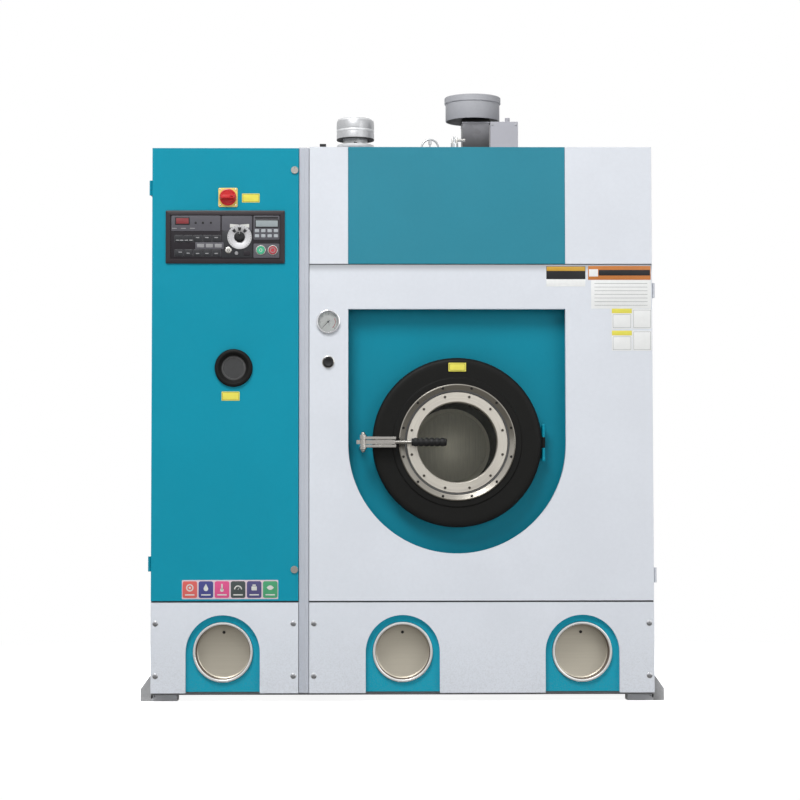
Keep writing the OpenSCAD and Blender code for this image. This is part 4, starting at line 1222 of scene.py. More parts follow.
# Dark sleeves in the hatch throats: painted shade.
HATCH_THROAT_SHADE = Moulded("hatch_liner_paint", (112, 98, 90), rough=0.55)
COWL_DARK = Moulded("cowl_shaded_lip", (46, 46, 48), rough=0.6)
BLACK_COVER = Moulded(
    "black_cover_paint", (24, 24, 23), rough=0.5, grain=500.0, relief=0.00008, shine=0.12
)
BLACK_PLASTIC = Moulded("black_plastic", (30, 30, 31))
GRIP_RUBBER = Moulded("black_grip", (24, 24, 25), rough=0.5)
SEAL_RUBBER = Moulded("seal_rubber", (34, 33, 32), rough=0.62, grain=900.0)
BELT_RUBBER = Moulded("belt_rubber", (30, 30, 30), rough=0.7, grain=1200.0, relief=0.0001)
CONSOLE = Moulded("console_plastic", (44, 41, 45), rough=0.42, shine=0.2)
CONSOLE_RIM = Moulded("console_rim", (48, 42, 45), rough=0.36, shine=0.25)
CONSOLE_FIELD = Moulded("console_field", (92, 91, 97), rough=0.46, shine=0.2)
KEY_DARK = Moulded("dark_key", (50, 51, 54), rough=0.4, shine=0.25)
KEY_PALE = Moulded("pale_key", (172, 177, 181), rough=0.4)
RED = Moulded("red_plastic", (200, 34, 38), rough=0.3, coat=0.3)
GREEN = Moulded("green_plastic", (70, 172, 132), rough=0.3, coat=0.2)
STOP_RED = Moulded("stop_red_plastic", (178, 62, 72), rough=0.3, coat=0.2)
SWITCH_YELLOW = Moulded("switch_yellow", (234, 206, 112), rough=0.4)
TRUNKING = Moulded("grey_trunking", (150, 154, 158), rough=0.5)
DEVICE_GREY = Moulded("device_grey", (196, 198, 196), rough=0.45)
DEVICE_DARK = Moulded("device_dark", (62, 66, 72), rough=0.45)
WIRE_BLUE = Moulded("blue_wire", (40, 70, 150), rough=0.4)
WIRE_BLACK = Moulded("black_wire", (26, 26, 28), rough=0.4)
MARK_PALE = printed("pale_print", (208, 208, 204))
MARK_SOFT = printed("soft_print", (146, 146, 148))
MARK_GREY = printed("grey_line_print", (84, 84, 88))
MARK_DARK = printed("dark_print", (34, 34, 36))
LABEL_LINE = printed("grey_print", (150, 152, 154))
GAUGE_FACE = printed("gauge_face", (232, 233, 230))
LABEL_YELLOW = film("yellow_film", (230, 220, 92))
LABEL_WHITE = film("white_film", (236, 237, 236))
LABEL_OCHRE = film("ochre_film", (206, 160, 62))
LABEL_ORANGE = film("orange_film", (196, 122, 62))
RED_DISPLAY = Lit("red_display", (128, 52, 56), lamp_and_painted_glow=0.15)
GREY_DISPLAY = Lit("grey_display", (146, 155, 158), lamp_and_painted_glow=0.08)
DOOR_GLASS = Glazing("door_glazing", (60, 63, 54), body=0.03)
SIGHT_GLASS = Glazing("sight_glazing", (34, 36, 38), body=0.62)
GAUGE_GLASS = Glazing("gauge_glazing", (214, 220, 222), body=0.03)
ICON_COLOURS = (
    ("icon_coral", (212, 100, 95)), ("icon_blue", (72, 74, 134)), ("icon_pink", (213, 84, 136)),
    ("icon_slate", (70, 78, 78)), ("icon_violet", (82, 78, 122)), ("icon_green", (74, 156, 112)),
)


# ------------------------------------------------------------- sub-assemblies


@dataclass
class Sheetwork(Assembly):
    """The painted sheet metal of the cabinet, its frame, feet and screws."""

    slot: str = "panel_white"
    front: float = 525.0  # how far out the panels stand
    half_width: float = 755.0  # half of the width over the side panels
    back: float = 525.0  # how far back the rear panel stands
    roof: float = 1668.0  # height of the roof
    screw_radius: float = 6.6  # radius of the panel screws

    def panels(self) -> None:
        """Rounds the edges of every panel and paints it."""
        for node, finish, slot, edge in (
            ("base_frame", RAIL_PAINT, "steel_dark", 1.6), ("anchor_feet", FOOT_PAINT, "foot_grey", 2.0),
            ("side_panels", WHITE, "", 0.7), ("rear_panel", WHITE, "", 0.7),
            ("roof_panel", SHADED_ROOF_PAINT, "", 0.7), ("centre_post", POST, "post_grey", 2.2),
            ("header_panel", WHITE, "", 2.0), ("header_insert", PALE_TEAL, "header_teal", 2.0),
            ("lower_panels", WHITE, "", 2.0), ("arch_plates", LIT_ARCH_TEAL, "panel_teal", 0.6),
            ("recess_panel", SHADED_RECESS_TEAL, "panel_teal", 0.6),
        ):
            self.soften(node, finish, edge, slot)
        self.dress("cabinet_frame", FRAME_PAINT)

    def screws(self) -> None:
        """Sets the cross screws of the lower panels, the sides, the back and the roof."""
        places = [(x, -self.front, z) for x in (-739, -327.25, -265.8, 738) for z in (78, 234)]
        washer = Stock().turned(0, 0, [(0, -0.5), (8.5, -0.5), (8.5, 0.7), (7.8, 1.1), (0, 1.1)], 28)
        for name, stock, finish, out in (
            ("panel_screw_washers", washer, ZINC_SCREW, 0.0),
            ("panel_screw_heads", cross_screw(self.screw_radius, 2.6), PANEL_SCREW, 1.0),
        ):
            marks = [(x, y - out, z) for x, y, z in places]
            self.spots(name, stock, finish, marks, "panel_screws", slot="screw_steel")
        up, across = (0, 0, 262), (294, 0, 0)
        for name, facing, x in self.sides:
            self.screw_rows(f"{name}_edge_screws", (x, -478, 62), up, 7, (0, 982, 0), facing)
        back = (-735, self.back, 62)
        self.screw_rows("rear_edge_screws", back, up, 7, (1470, 0, 0), Facing.BACK)
        self.screw_rows("rear_end_screws", (-441, self.back, 62), across, 4, (0, 0, 1572), Facing.BACK)
        self.screw_rows("roof_screws", (-735, -479, self.roof), across, 6, (0, 984, 0), Facing.UP)

    @property
    def sides(self) -> tuple:
        """Returns name, facing and x of both sides."""
        return ("right", Facing.RIGHT, self.half_width), ("left", Facing.LEFT, -self.half_width)

    def screw_rows(
        self, name: str, start: Point3, step: Point3, count: int, row_step: Point3, facing: Facing
    ) -> None:
        """Sets two rows of small cross screws.

        Args:
            name: Name of the piece.
            start: Place of the first screw.
            step: Step to the next one in a row.
            count: Screws in a row.
            row_step: Step to the second row.
            facing: The side that they look to.
        """
        self.rows(
            name, cross_screw(5.0, 2.2), SCREW, start, step, count, row_step=row_step, rows=2,
            slot="screw_steel", facing=facing,
        )

    def hood(self, length: float, upright: bool, way: float = 1.0) -> Stock:
        """Returns a pressed hood over a slot, open along one long side, with its seat at 0.

        Args:
            length: Length of the hood.
            upright: True if its length runs upwards.
            way: -1 to open it on the other side.

        Returns:
            The hood.
        """
        loops = []
        ends = ((0.0, 0.0), (4.0, 0.7), (10.0, 1.0))
        spine = [(-length / 2 + run, rise) for run, rise in ends]
        spine += [(length / 2 - run, rise) for run, rise in ends[::-1]]
        for along, rise in spine:
            steps = ((6.5, 0.0), (3.5, 2.2), (-2.5, 4.6), (-7.5, 5.0))
            outer = [(across, 0.6 + high * rise) for across, high in steps]
            inner = [(across, max(out - 1.0, -0.4)) for across, out in outer[::-1]]
            section = [(across * way, out) for across, out in outer + inner]
            loops.append([
                (across, along, out) if upright else (along, across, out) for across, out in section
            ])
        return Stock().loft(loops)

    def vent_frame(self, name: str, low: Point2, high: Point2, level: float, facing: Facing) -> None:
        """Sets a flat frame round a group of hoods."""
        self.add(name, frame_line(low, high, 9, level - 0.4, level + 1.6), WHITE, facing=facing)

    def vents(self) -> None:
        """Sets hoods over the slots of the sides and the back, and frames round them."""
        gap = 34
        for name, facing, x in self.sides:
            way = 1.0 if facing is Facing.RIGHT else -1.0
            self.rows(
                f"{name}_vent_hoods", self.hood(130.0, True, way), WHITE, (x, 125, 490), (0, gap, 0), 8,
                row_step=(0, 0, 970), rows=2, facing=facing,
            )
            near, far = sorted((98 * way, 390 * way))
            for part, z in (("lower", 490), ("upper", 1460)):
                frame_name = f"{name}_{part}_vent_frame"
                self.vent_frame(frame_name, (near, z - 80), (far, z + 80), self.half_width, facing)
        for name, x, z, length, count in (("drive", 164, 630, 390, 10), ("bay", -525, 1343, 210, 6)):
            hood = self.hood(length, False)
            start = (x, self.back, z)
            self.rows(f"{name}_vent_hoods", hood, WHITE, start, (0, 0, gap), count, facing=Facing.BACK)
            low = (-x - length / 2 - 22, z - 32)
            high = (-x + length / 2 + 22, z + gap * (count - 1) + 32)
            self.vent_frame(f"{name}_vent_frame", low, high, self.back, Facing.BACK)

    def cover(self, name: str, low: Point2, high: Point2, level: float, facing: Facing) -> None:
        """Screws on a raised cover with a sunk pull.

        Args:
            name: Its name.
            low: Its lower left corner, seen from outside.
            high: Its upper right corner.
            level: How far out the sheet below it lies.
            facing: The side that it looks to.
        """
        face, inset = level + 1.8, 16
        self.tray(name, low, high, (8, level - 0.4, face, 0.8), WHITE, facing=facing)
        u, v = (low[0] + high[0]) / 2, high[1] - 60
        shape = (10, level, level + 3.4, 1.2, 7, level + 2.2)
        corners = (u - 48, v - 17), (u + 48, v + 17)
        self.tray(f"{name}_pull", *corners, shape, BLACK_PLASTIC, slot="knob_black", facing=facing)
        wide, tall = high[0] - low[0] - 2 * inset, high[1] - low[1] - 2 * inset
        corner, along, across = (
            tuple(facing.matrix @ Vector(way) / MM)
            for way in ((low[0] + inset, low[1] + inset, face), (0, tall / 3, 0), (wide, 0, 0))
        )
        self.screw_rows(f"{name}_screws", corner, along, 4, across, facing)

    def covers(self) -> None:
        """Sets the service covers, the roof's seam strips and the pipe threads."""
        for name, facing, _ in self.sides:
            low, high = ((-390, 620), (30, 1290)) if facing is Facing.RIGHT else ((-30, 620), (390, 1290))
            self.cover(f"{name}_cover", low, high, self.half_width, facing)
        self.cover("rear_cover", (130, 90), (650, 545), self.back, Facing.BACK)
        self.cover("roof_cover", (-640, 60), (-340, 440), self.roof, Facing.UP)
        steel = {"slot": "screw_steel", "facing": Facing.BACK}
        shape = (3, self.back - 0.3, self.back + 0.8, 0.3)
        self.tray("blank_plate", (-690, 1250), (-600, 1305), shape, ZINC_SCREW, **steel)
        strips = Stock()
        for x in (-300, 440):
            strips.block((x - 12, -500, self.roof - 0.3), (x + 12, 500, self.roof + 1.6), 0.5)
        self.add("roof_strips", strips, SHADED_ROOF_PAINT, facing=Facing.UP)
        for name, z in (("outlet", 452), ("inlet", 532)):
            nut = [(13, self.back), (22, self.back), (22, 532.2), (20.5, 533.4), (13, 533.4)]
            sleeve = Stock().turned(-642, z, nut, 6)
            thread = [(12.7, 534)] + [
                (radius, 535 + 3.4 * i + run) for i in range(7)
                for run, radius in ((0.0, 13.3), (1.2, 14.0), (2.0, 14.0))
            ] + [(12.7, 559.6)]
            sleeve.turned(-642, z, thread, 32)
            self.add(f"{name}_thread", sleeve, BRASS, **steel)
        # Black rubber seals fill the seams under the header and above the lower panels; they are real seals
        # and also painted shade in those seams.
        seals = Stock().block((-279, 1311.2, 499), (753, 1312.8, 520))
        seals.block((-752, 297.4, 499), (752, 300.6, 518))
        self.add("panel_seals", seals, SEAL_RUBBER, slot="seal_rubber")

    def build(self) -> None:
        """Builds all of the sheetwork."""
        self.panels()
        self.screws()
        self.vents()
        self.covers()


@dataclass
class TankHatches(Assembly):
    """The three round hatches of the solvent tanks."""

    slot: str = "stainless"
    pitch: float = 538.0  # distance between the hatches
    height: float = 148.0  # height of their middle
    radius: float = 89.5  # outer radius of the ring
    rim: float = 7.5  # width of the ring

    def build(self) -> None:
        """Builds the rings, the lids, dark sleeves of painted shade in the rings' throats and the small
        screw above the middle of each.
        """
        outer, inner = self.radius, self.radius - self.rim
        ring = [(inner, 447), (outer, 447), (outer, 516.4), (outer - 0.6, 517.6), (outer - 2.0, 518),
                (inner + 1.6, 518), (inner + 0.4, 517.4), (inner, 516.2)]
        lid = [(0, 446.5), (inner + 0.5, 446.5), (inner + 0.5, 460.5), (inner - 1.5, 461.5),
               (inner - 4.0, 460.5), (inner - 5.0, 458.2), (inner - 12, 457.6), (0, 457.2)]
        # a dark sleeve on the ring's inner wall, painted shade
        throat_shade = [(inner - 1.0, 461), (inner + 0.6, 461), (inner + 0.6, 513), (inner - 1.0, 512)]
        stud = [(0, 457), (4.6, 457), (4.6, 459.6), (3.6, 460.6), (0, 460.8)]
        for name, profile, steps, finish, lift in (
            ("hatch_rings", ring, 72, BRIGHT_RING, 0.0), ("hatch_lids", lid, 72, HATCH_LID, 0.0),
            ("hatch_liners", throat_shade, 72, HATCH_THROAT_SHADE, 0.0), ("hatch_studs", stud, 16, BLACK_OXIDE, 57.0),
        ):
            start = (-self.pitch, 0.0, self.height + lift)
            stock = Stock().turned(0, 0, profile, steps)
            self.rows(name, stock, finish, start, (self.pitch, 0, 0), 3, "tank_hatches")
        self.dress("solvent_tanks", TANK_STEEL)


@dataclass
class ControlColumn(Assembly):
    """The control door with its console, main switch, port, locks and signs."""

    body: str = "control_door"
    slot: str = "console_dark"
    face: float = 527.0  # how far out the console's face lies
    door: float = 525.0  # how far out the door lies
    dial: Point2 = (-490.0, 1394.0)  # middle of the program dial
    switch: Point2 = (-525.0, 1514.0)  # middle of the main switch
    port: Point2 = (-507.0, 999.0)  # middle of the sight port

    def console(self) -> None:
        """Builds the console's case, its fields, the key strip and the displays."""
        face = self.face
        case = (2, 476, 531, 1.2, 14, face)
        self.tray("console_case", (-712, 1314), (-354, 1474), case, CONSOLE_RIM, "control_console")
        fields = Stock()
        for low, high in (
            ((-695, 1412), (-548, 1459)), ((-448, 1386), (-370, 1459)), ((-448, 1331), (-370, 1374)),
        ):
            fields.tray(low, high, 3, face + 0.4, face + 2.2, 0.6)
        self.add("console_fields", fields, CONSOLE_FIELD)
        bezel = (1.5, face + 2, face + 3.4, 0.5, 3, face + 2.6)
        bezels = Stock().tray((-684, 1431), (-640, 1454), *bezel).tray((-444, 1422), (-372, 1447), *bezel)
        self.add("display_bezels", bezels, BLACK_PLASTIC)
        middle, display = (3, face + 0.4, face + 1.2, 0.4), (0.6, face + 2.2, face + 2.9, 0.1)
        for name, low, high, shape, finish in (
            ("console_sheet", (-698.4, 1327.6), (-367.6, 1460.4), (3, 526.6, face + 0.6, 0.4), CONSOLE),
            ("dial_field", (-543, 1332), (-453, 1412), middle, KEY_DARK),
            ("dial_upper_field", (-543, 1413), (-453, 1459), middle, CONSOLE_FIELD),
            ("header_bar", (-444, 1449.5), (-374, 1455), (1.2, face + 2.0, face + 2.5, 0.1), MARK_DARK),
            ("key_strip", (-623, 1357.5), (-538, 1378), (2, face + 0.4, face + 1.6, 0.5), CONSOLE_FIELD),
            ("red_display", (-681, 1434), (-643, 1451), display, RED_DISPLAY),
            ("grey_display", (-441, 1425), (-375, 1444), display, GREY_DISPLAY),
            ("wide_key", (-478, 1338), (-457, 1352), (2, face + 0.9, face + 3.0, 0.7), CONSOLE),
        ):
            self.tray(name, low, high, shape, finish)

    def keys(self) -> None:
        """Sets the rows of keys, the small lamps and the marks beside them."""
        face = self.face
        twice = {"row_step": (0, 0, -43.5), "rows": 2}
        start = (-672.5, -face - 0.6, 1389.5)
        key = Stock().tray((-12.4, -9.6), (12.4, 9.6), 2, -0.3, 2.6, 1.0)
        self.rows("program_keys", key, KEY_DARK, start, (28.4, 0, 0), 5, **twice)
        well = frame_line((-13.6, -10.8), (13.6, 10.8), 0.8, -0.2, 0.5)
        self.rows("key_wells", well, MARK_GREY, start, (28.4, 0, 0), 5, **twice)
        small = Stock().tray((-6.4, -4.6), (6.4, 4.6), 1.4, -0.3, 1.8, 0.7)
        start = (-437.5, -face - 2.2, 1413)
        self.rows("entry_keys", small, KEY_PALE, start, (19, 0, 0), 4, row_step=(0, 0, -15.5), rows=2)
        mark = Stock().tray((-10.5, -5.5), (10.5, 5.5), 1.5, -0.3, 1.0, 0.4)
        self.rows("strip_keys", mark, MARK_SOFT, (-607, -face - 1.6, 1367.8), (26.5, 0, 0), 3)
        dash = Stock().tray((-7.5, -1.2), (7.5, 1.2), 1, -0.3, 0.4, 0.1)
        self.rows("display_marks", dash, MARK_SOFT, (-686, -face - 2.2, 1420), (27, 0, 0), 3)
        dash = Stock().tray((-5.2, -1.5), (5.2, 1.5), 1.2, -0.3, 0.35, 0.1)
        self.spots("key_marks", dash, MARK_SOFT, [(x, -face - 3.2, z) for x, z in (
            (-676, 1384), (-664, 1384), (-650, 1384), (-636, 1384), (-616, 1392), (-588, 1392),
            (-560, 1392), (-668, 1348), (-644, 1345), (-616, 1344), (-588, 1344), (-560, 1344),
        )])
        lamp = Stock().turned(0, 0, [(0, -0.2), (3.2, -0.2), (3.2, 0.6), (2.2, 1.5), (0, 1.9)], 14)
        marks = [(x, -face - 2.2, 1437) for x in (-622, -600, -576)]
        self.spots("display_lamps", lamp, BLACK_PLASTIC, marks)

    def dial_plate(self) -> None:
        """Builds the silver dial plate with its ticks and blocks, and the bow above it."""
        u, v = self.dial
        out = self.face + 1.2
        low, high, rise = out - 0.3, out + 0.5, (1427, 1422, 1433.6, 1431.5)
        bow = Stock()
        for side in (-1, 1):
            shape = [(u + side * x, z) for x, z in zip((3, 29, 29, 3), rise)]
            bow.slab(shape[::side], low, high, 0.2)
        self.add("dial_bow", bow, MARK_PALE)
        plate = [(16, out - 0.5), (36.7, out - 0.5), (36.7, out + 0.7), (36.1, out + 1.2),
                 (17, out + 1.2), (16, out + 0.8)]
        self.turn("dial_plate", self.dial, plate, DIAL_SILVER, steps=72, slot="screw_steel")
        place = (u, -out - 1.2, v)
        tick = Stock().tray((-0.4, -1.8), (0.4, 1.8), 0.3, -0.3, 0.35, 0.1)
        self.ring("dial_ticks", tick, MARK_DARK, place, 33.6, 25, first=-150, sweep=312.5)
        bold = Stock().slab([(-3.2, -5.2), (3.2, -5.2), (5.6, 4.8), (-5.6, 4.8)], -0.3, 0.5, 0.15)
        self.ring("dial_blocks", bold, MARK_DARK, place, 24.5, 3, first=-41, sweep=123)
        collar = [(3.4, low), (9.4, low), (9.4, out + 0.8), (8.6, out + 1.1), (3.8, out + 1.1)]
        stem = [(0, low), (3.0, low), (3.0, out + 2.4), (2.4, out + 3), (0, out + 3)]
        small = Stock().turned(-523.5, 1354, collar, 32).turned(-523.5, 1354, stem, 20)
        self.add("trim_dial", small, SCREW, slot="screw_steel")
        cap = [(0, low), (5.4, low), (5.4, out + 2.6), (4.6, out + 3.4), (0, out + 3.6)]
        self.turn("round_key", (-499, 1345), cap, MARK_SOFT, steps=24)

    def program_knob(self) -> None:
        """Builds the ribbed program knob and its pointer."""
        u, v = self.dial
        knob = self.on("program_selector", "knob_black")
        body = [(0, 512), (15.5, 512), (15.5, 530.6), (14.6, 531.6), (12.0, 532.0), (11.4, 533.2),
                (11.0, 540.8), (10.2, 542.0), (8.0, 542.3), (0, 542.3)]
        knob.turn("program_knob_body", self.dial, body, BLACK_PLASTIC, "program_knob", steps=48)
        rib = Stock().slab([(-0.8, -1.2), (0.8, -1.2), (0.5, 0.5), (-0.5, 0.5)], 532.4, 541.4, 0.3)
        knob.ring("program_knob_ribs", rib, BLACK_PLASTIC, (u, 0, v), 11.2, 24, "program_knob")
        pointer = Stock().tray((u - 1.0, v + 1.5), (u + 1.0, v + 9.6), 0.6, 542.0, 542.3, 0.05)
        pointer.tray((u - 0.9, v + 11.8), (u + 0.9, v + 15.0), 0.4, 531.0, 532.2, 0.1)
        knob.add("program_knob_pointer", pointer, MARK_PALE)

    def push_buttons(self) -> None:
        """Builds the start and stop buttons, their bezels and the rings printed on their caps."""
        cap = [(0, 515), (12, 515), (12, 531.6), (11.4, 532.7), (10.2, 533.0), (8.5, 532.7), (0, 532.2)]
        bezel = [(12.3, 528.6), (15.6, 528.6), (15.6, 530.2), (14.8, 531.2), (13.0, 531.4), (12.3, 530.8)]
        for kind, x, finish, slot, sizes, print_finish in (
            ("start", -426.0, GREEN, "button_green", (3.4, 4.8, 532.3, 532.85), MARK_PALE),
            ("stop", -390.0, STOP_RED, "button_red", (6.2, 8.0, 532.35, 532.95), MARK_SOFT),
        ):
            place, name = (x, 1354), f"{kind}_button"
            button = self.on(name, slot)
            button.turn(f"{name}_cap", place, cap, finish, name, steps=40)
            self.turn(f"{name}_bezel", place, bezel, SCREW, steps=40, slot="screw_steel")
            inner, outer, low, high = sizes
            ring = [(inner, low), (outer, low), (outer, high), (inner, high)]
            button.turn(f"{kind}_mark", place, ring, print_finish, steps=24)

    def main_switch(self) -> None:
        """Builds the yellow plate and the red handle of the main switch."""
        u, v = self.switch
        corners = (u - 29, v - 29), (u + 29, v + 29)
        self.tray("switch_plate", *corners, (4, 524.6, 529, 1.2), SWITCH_YELLOW, "control_console")
        marks = [(u + a * 23.5, -529, v + b * 23.5) for a in (-1, 1) for b in (-1, 1)]
        self.spots("switch_plate_screws", cross_screw(2.4, 1.0), SCREW, marks, slot="screw_steel")
        base = [(0, 506), (25.4, 506), (25.4, 534.5), (24.6, 536.4), (22.5, 537.4), (21.0, 537.4),
                (20.0, 536.0), (0, 535.6)]
        knob = Stock().turned(u, v, base, 56)
        sides = []
        for out, half, end, round_off in (
            (535.0, 8.0, 23.4, 6.0), (548.0, 7.2, 22.6, 5.6),
            (553.4, 6.4, 21.6, 5.0), (555.3, 4.2, 19.0, 3.0),
        ):
            low, high = (u - end, v - half), (u + end, v + half)
            sides.append(raised(box_outline(low, high, round_off), out))
        switch = self.on("main_switch", "switch_red")
        switch.add("main_switch_handle", knob.loft(sides), RED, "switch_knob")
        mark = (0.6, 555.0, 555.3, 0.05)
        switch.tray("main_switch_mark", (u + 8, v - 1.2), (u + 17, v + 1.2), mark, MARK_PALE)

    def sight_port(self) -> None:
        """Builds the black ring of the port, the dark glass in it and its seal."""
        ring = [(37, 512), (57, 512), (57, 531), (56.3, 533.6), (54.4, 535.6), (51.6, 536.7), (48.6, 537),
                (45.5, 536.4), (43.8, 535.0), (43.0, 532.0), (41.0, 530.4), (38.2, 529.6), (37, 528.6)]
        pane = [(0, 516.2), (36.9, 516.2), (36.9, 521), (0, 521)]
        rim = [(31.0, 520.8), (36.8, 520.8), (36.8, 524.6), (35.8, 525.2), (31.8, 525.2), (31.0, 524.4)]
        port = self.on(self.body, "port_black")
        port.turn("port_ring", self.port, ring, BLACK_COVER, "door_port", steps=80)
        port.turn("port_glass", self.port, pane, SIGHT_GLASS, "door_port")
        port.turn("port_seal", self.port, rim, SEAL_RUBBER)

    def sign(self, name: str, low: Point2, high: Point2) -> None:
        """Sticks a blank yellow sign with a thin border line on the door.

        Args:
            name: Its name.
            low: Its lower left corner.
            high: Its upper right corner.
        """
        out, inset = self.door, 2.2
        self.tray(name, low, high, (1.5, out - 0.2, out + 0.4, 0.15), LABEL_YELLOW)
        inner = (low[0] + inset, low[1] + inset), (high[0] - inset, high[1] - inset)
        self.add(f"{name}_line", frame_line(*inner, 0.7, out + 0.3, out + 0.5), MARK_DARK)

    def icons(self) -> None:
        """Sticks on the six coloured squares with their plain shapes."""
        paper = Moulded("icon_sheet_film", (214, 196, 204), rough=0.35)
        self.tray("icon_sheet", (-660, 307), (-372.5, 364), (2.5, 524.8, 525.4, 0.15), paper)
        for i, (name, colour) in enumerate(ICON_COLOURS):
            u = -636.4 + 48.05 * i
            corners = (u - 21.8, 310.5), (u + 21.8, 360.5)
            self.tray(name, *corners, (6, 525.2, 525.8, 0.15), film(f"{name}_film", colour))
            bar = Stock().tray((u - 14, 318.0), (u + 14, 321.6), 0.8, 525.7, 526.0, 0.05)
            glyph(bar, i, u, 341.0)
            self.add(f"{name}_shape", bar, MARK_PALE)

    def build(self) -> None:
        """Builds the whole column."""
        self.soften("control_door", TEAL, 2.2, "panel_teal")
        self.console()
        self.keys()
        self.dial_plate()
        self.program_knob()
        self.push_buttons()
        self.main_switch()
        self.sight_port()
        self.sign("switch_sign", (-483, 1499), (-430, 1526))
        self.sign("port_sign", (-543, 901), (-489, 928))
        self.icons()
        for lock in ("upper_lock", "lower_lock"):
            self.on(lock, "screw_steel").soften(lock, LEVER_STEEL, 1.2)


def frame_line(low: Point2, high: Point2, width: float, back: float, front: float) -> Stock:
    """Returns a thin printed frame.

    Args:
        low: Lower left corner.
        high: Upper right corner.
        width: Width of the line.
        back: How far out its back lies.
        front: How far out its front lies.

    Returns:
        The frame.
    """
    outer, inner = (
        box_outline((low[0] + inset, low[1] + inset), (high[0] - inset, high[1] - inset), 1.2)
        for inset in (0.0, width)
    )
    loops = [(outer, back), (outer, front), (inner, front), (inner, back)]
    return Stock().loft([raised(line, out) for line, out in loops], closed=True)


def glyph(stock: Stock, kind: int, u: float, v: float) -> None:
    """Adds one of six plain geometric shapes to a sign.

    Args:
        stock: The stock that takes it.
        kind: 0 ring, 1 drop, 2 rod and ball, 3 half dial, 4 square, 5 leaf.
        u: Middle across.
        v: Middle up.
    """
    back, front = 525.7, 526.0
    if kind == 0:
        stock.turned(u, v, [(7.5, back), (11, back), (11, front), (7.5, front)], 28)
        stock.turned(u, v, [(0, back), (3.4, back), (3.4, front), (0, front)], 16)
    elif kind == 1:
        turns = [math.radians(-200 + 220 * i / 16) for i in range(17)]
        points = [(u + 7 * math.cos(t), v - 3 + 7 * math.sin(t)) for t in turns]
        stock.slab([*points, (u, v + 12)], back, front)
    elif kind == 2:
        stock.tray((u - 2.2, v - 6), (u + 2.2, v + 12), 2.1, back, front, 0.05)
        stock.turned(u, v - 7, [(0, back), (5.2, back), (5.2, front), (0, front)], 24)
    elif kind == 3:
        outer = [math.pi * i / 20 for i in range(21)]
        arc = [(u + 12 * math.cos(t), v - 5 + 12 * math.sin(t)) for t in outer]
        arc += [(u + 8.6 * math.cos(t), v - 5 + 8.6 * math.sin(t)) for t in outer[::-1]]
        stock.slab(arc, back, front)
        stock.slab([(u - 1.4, v - 6.4), (u + 1.4, v - 5.6), (u + 5.2, v + 2.6)], back, front)
    elif kind == 4:
        stock.tray((u - 8, v - 8), (u + 8, v + 4), 1.5, back, front, 0.05)
        stock.tray((u - 5, v + 5.5), (u + 5, v + 9.5), 1.2, back, front, 0.05)
    else:
        turns = [math.pi * i / 14 for i in range(15)]
        upper = [(u - 11 + 22 * i / 14, v + 7 * math.sin(t)) for i, t in enumerate(turns)]
        lower = [(x, 2 * v - y) for x, y in upper[-2:0:-1]]
        stock.slab((upper + lower)[::-1], back, front)


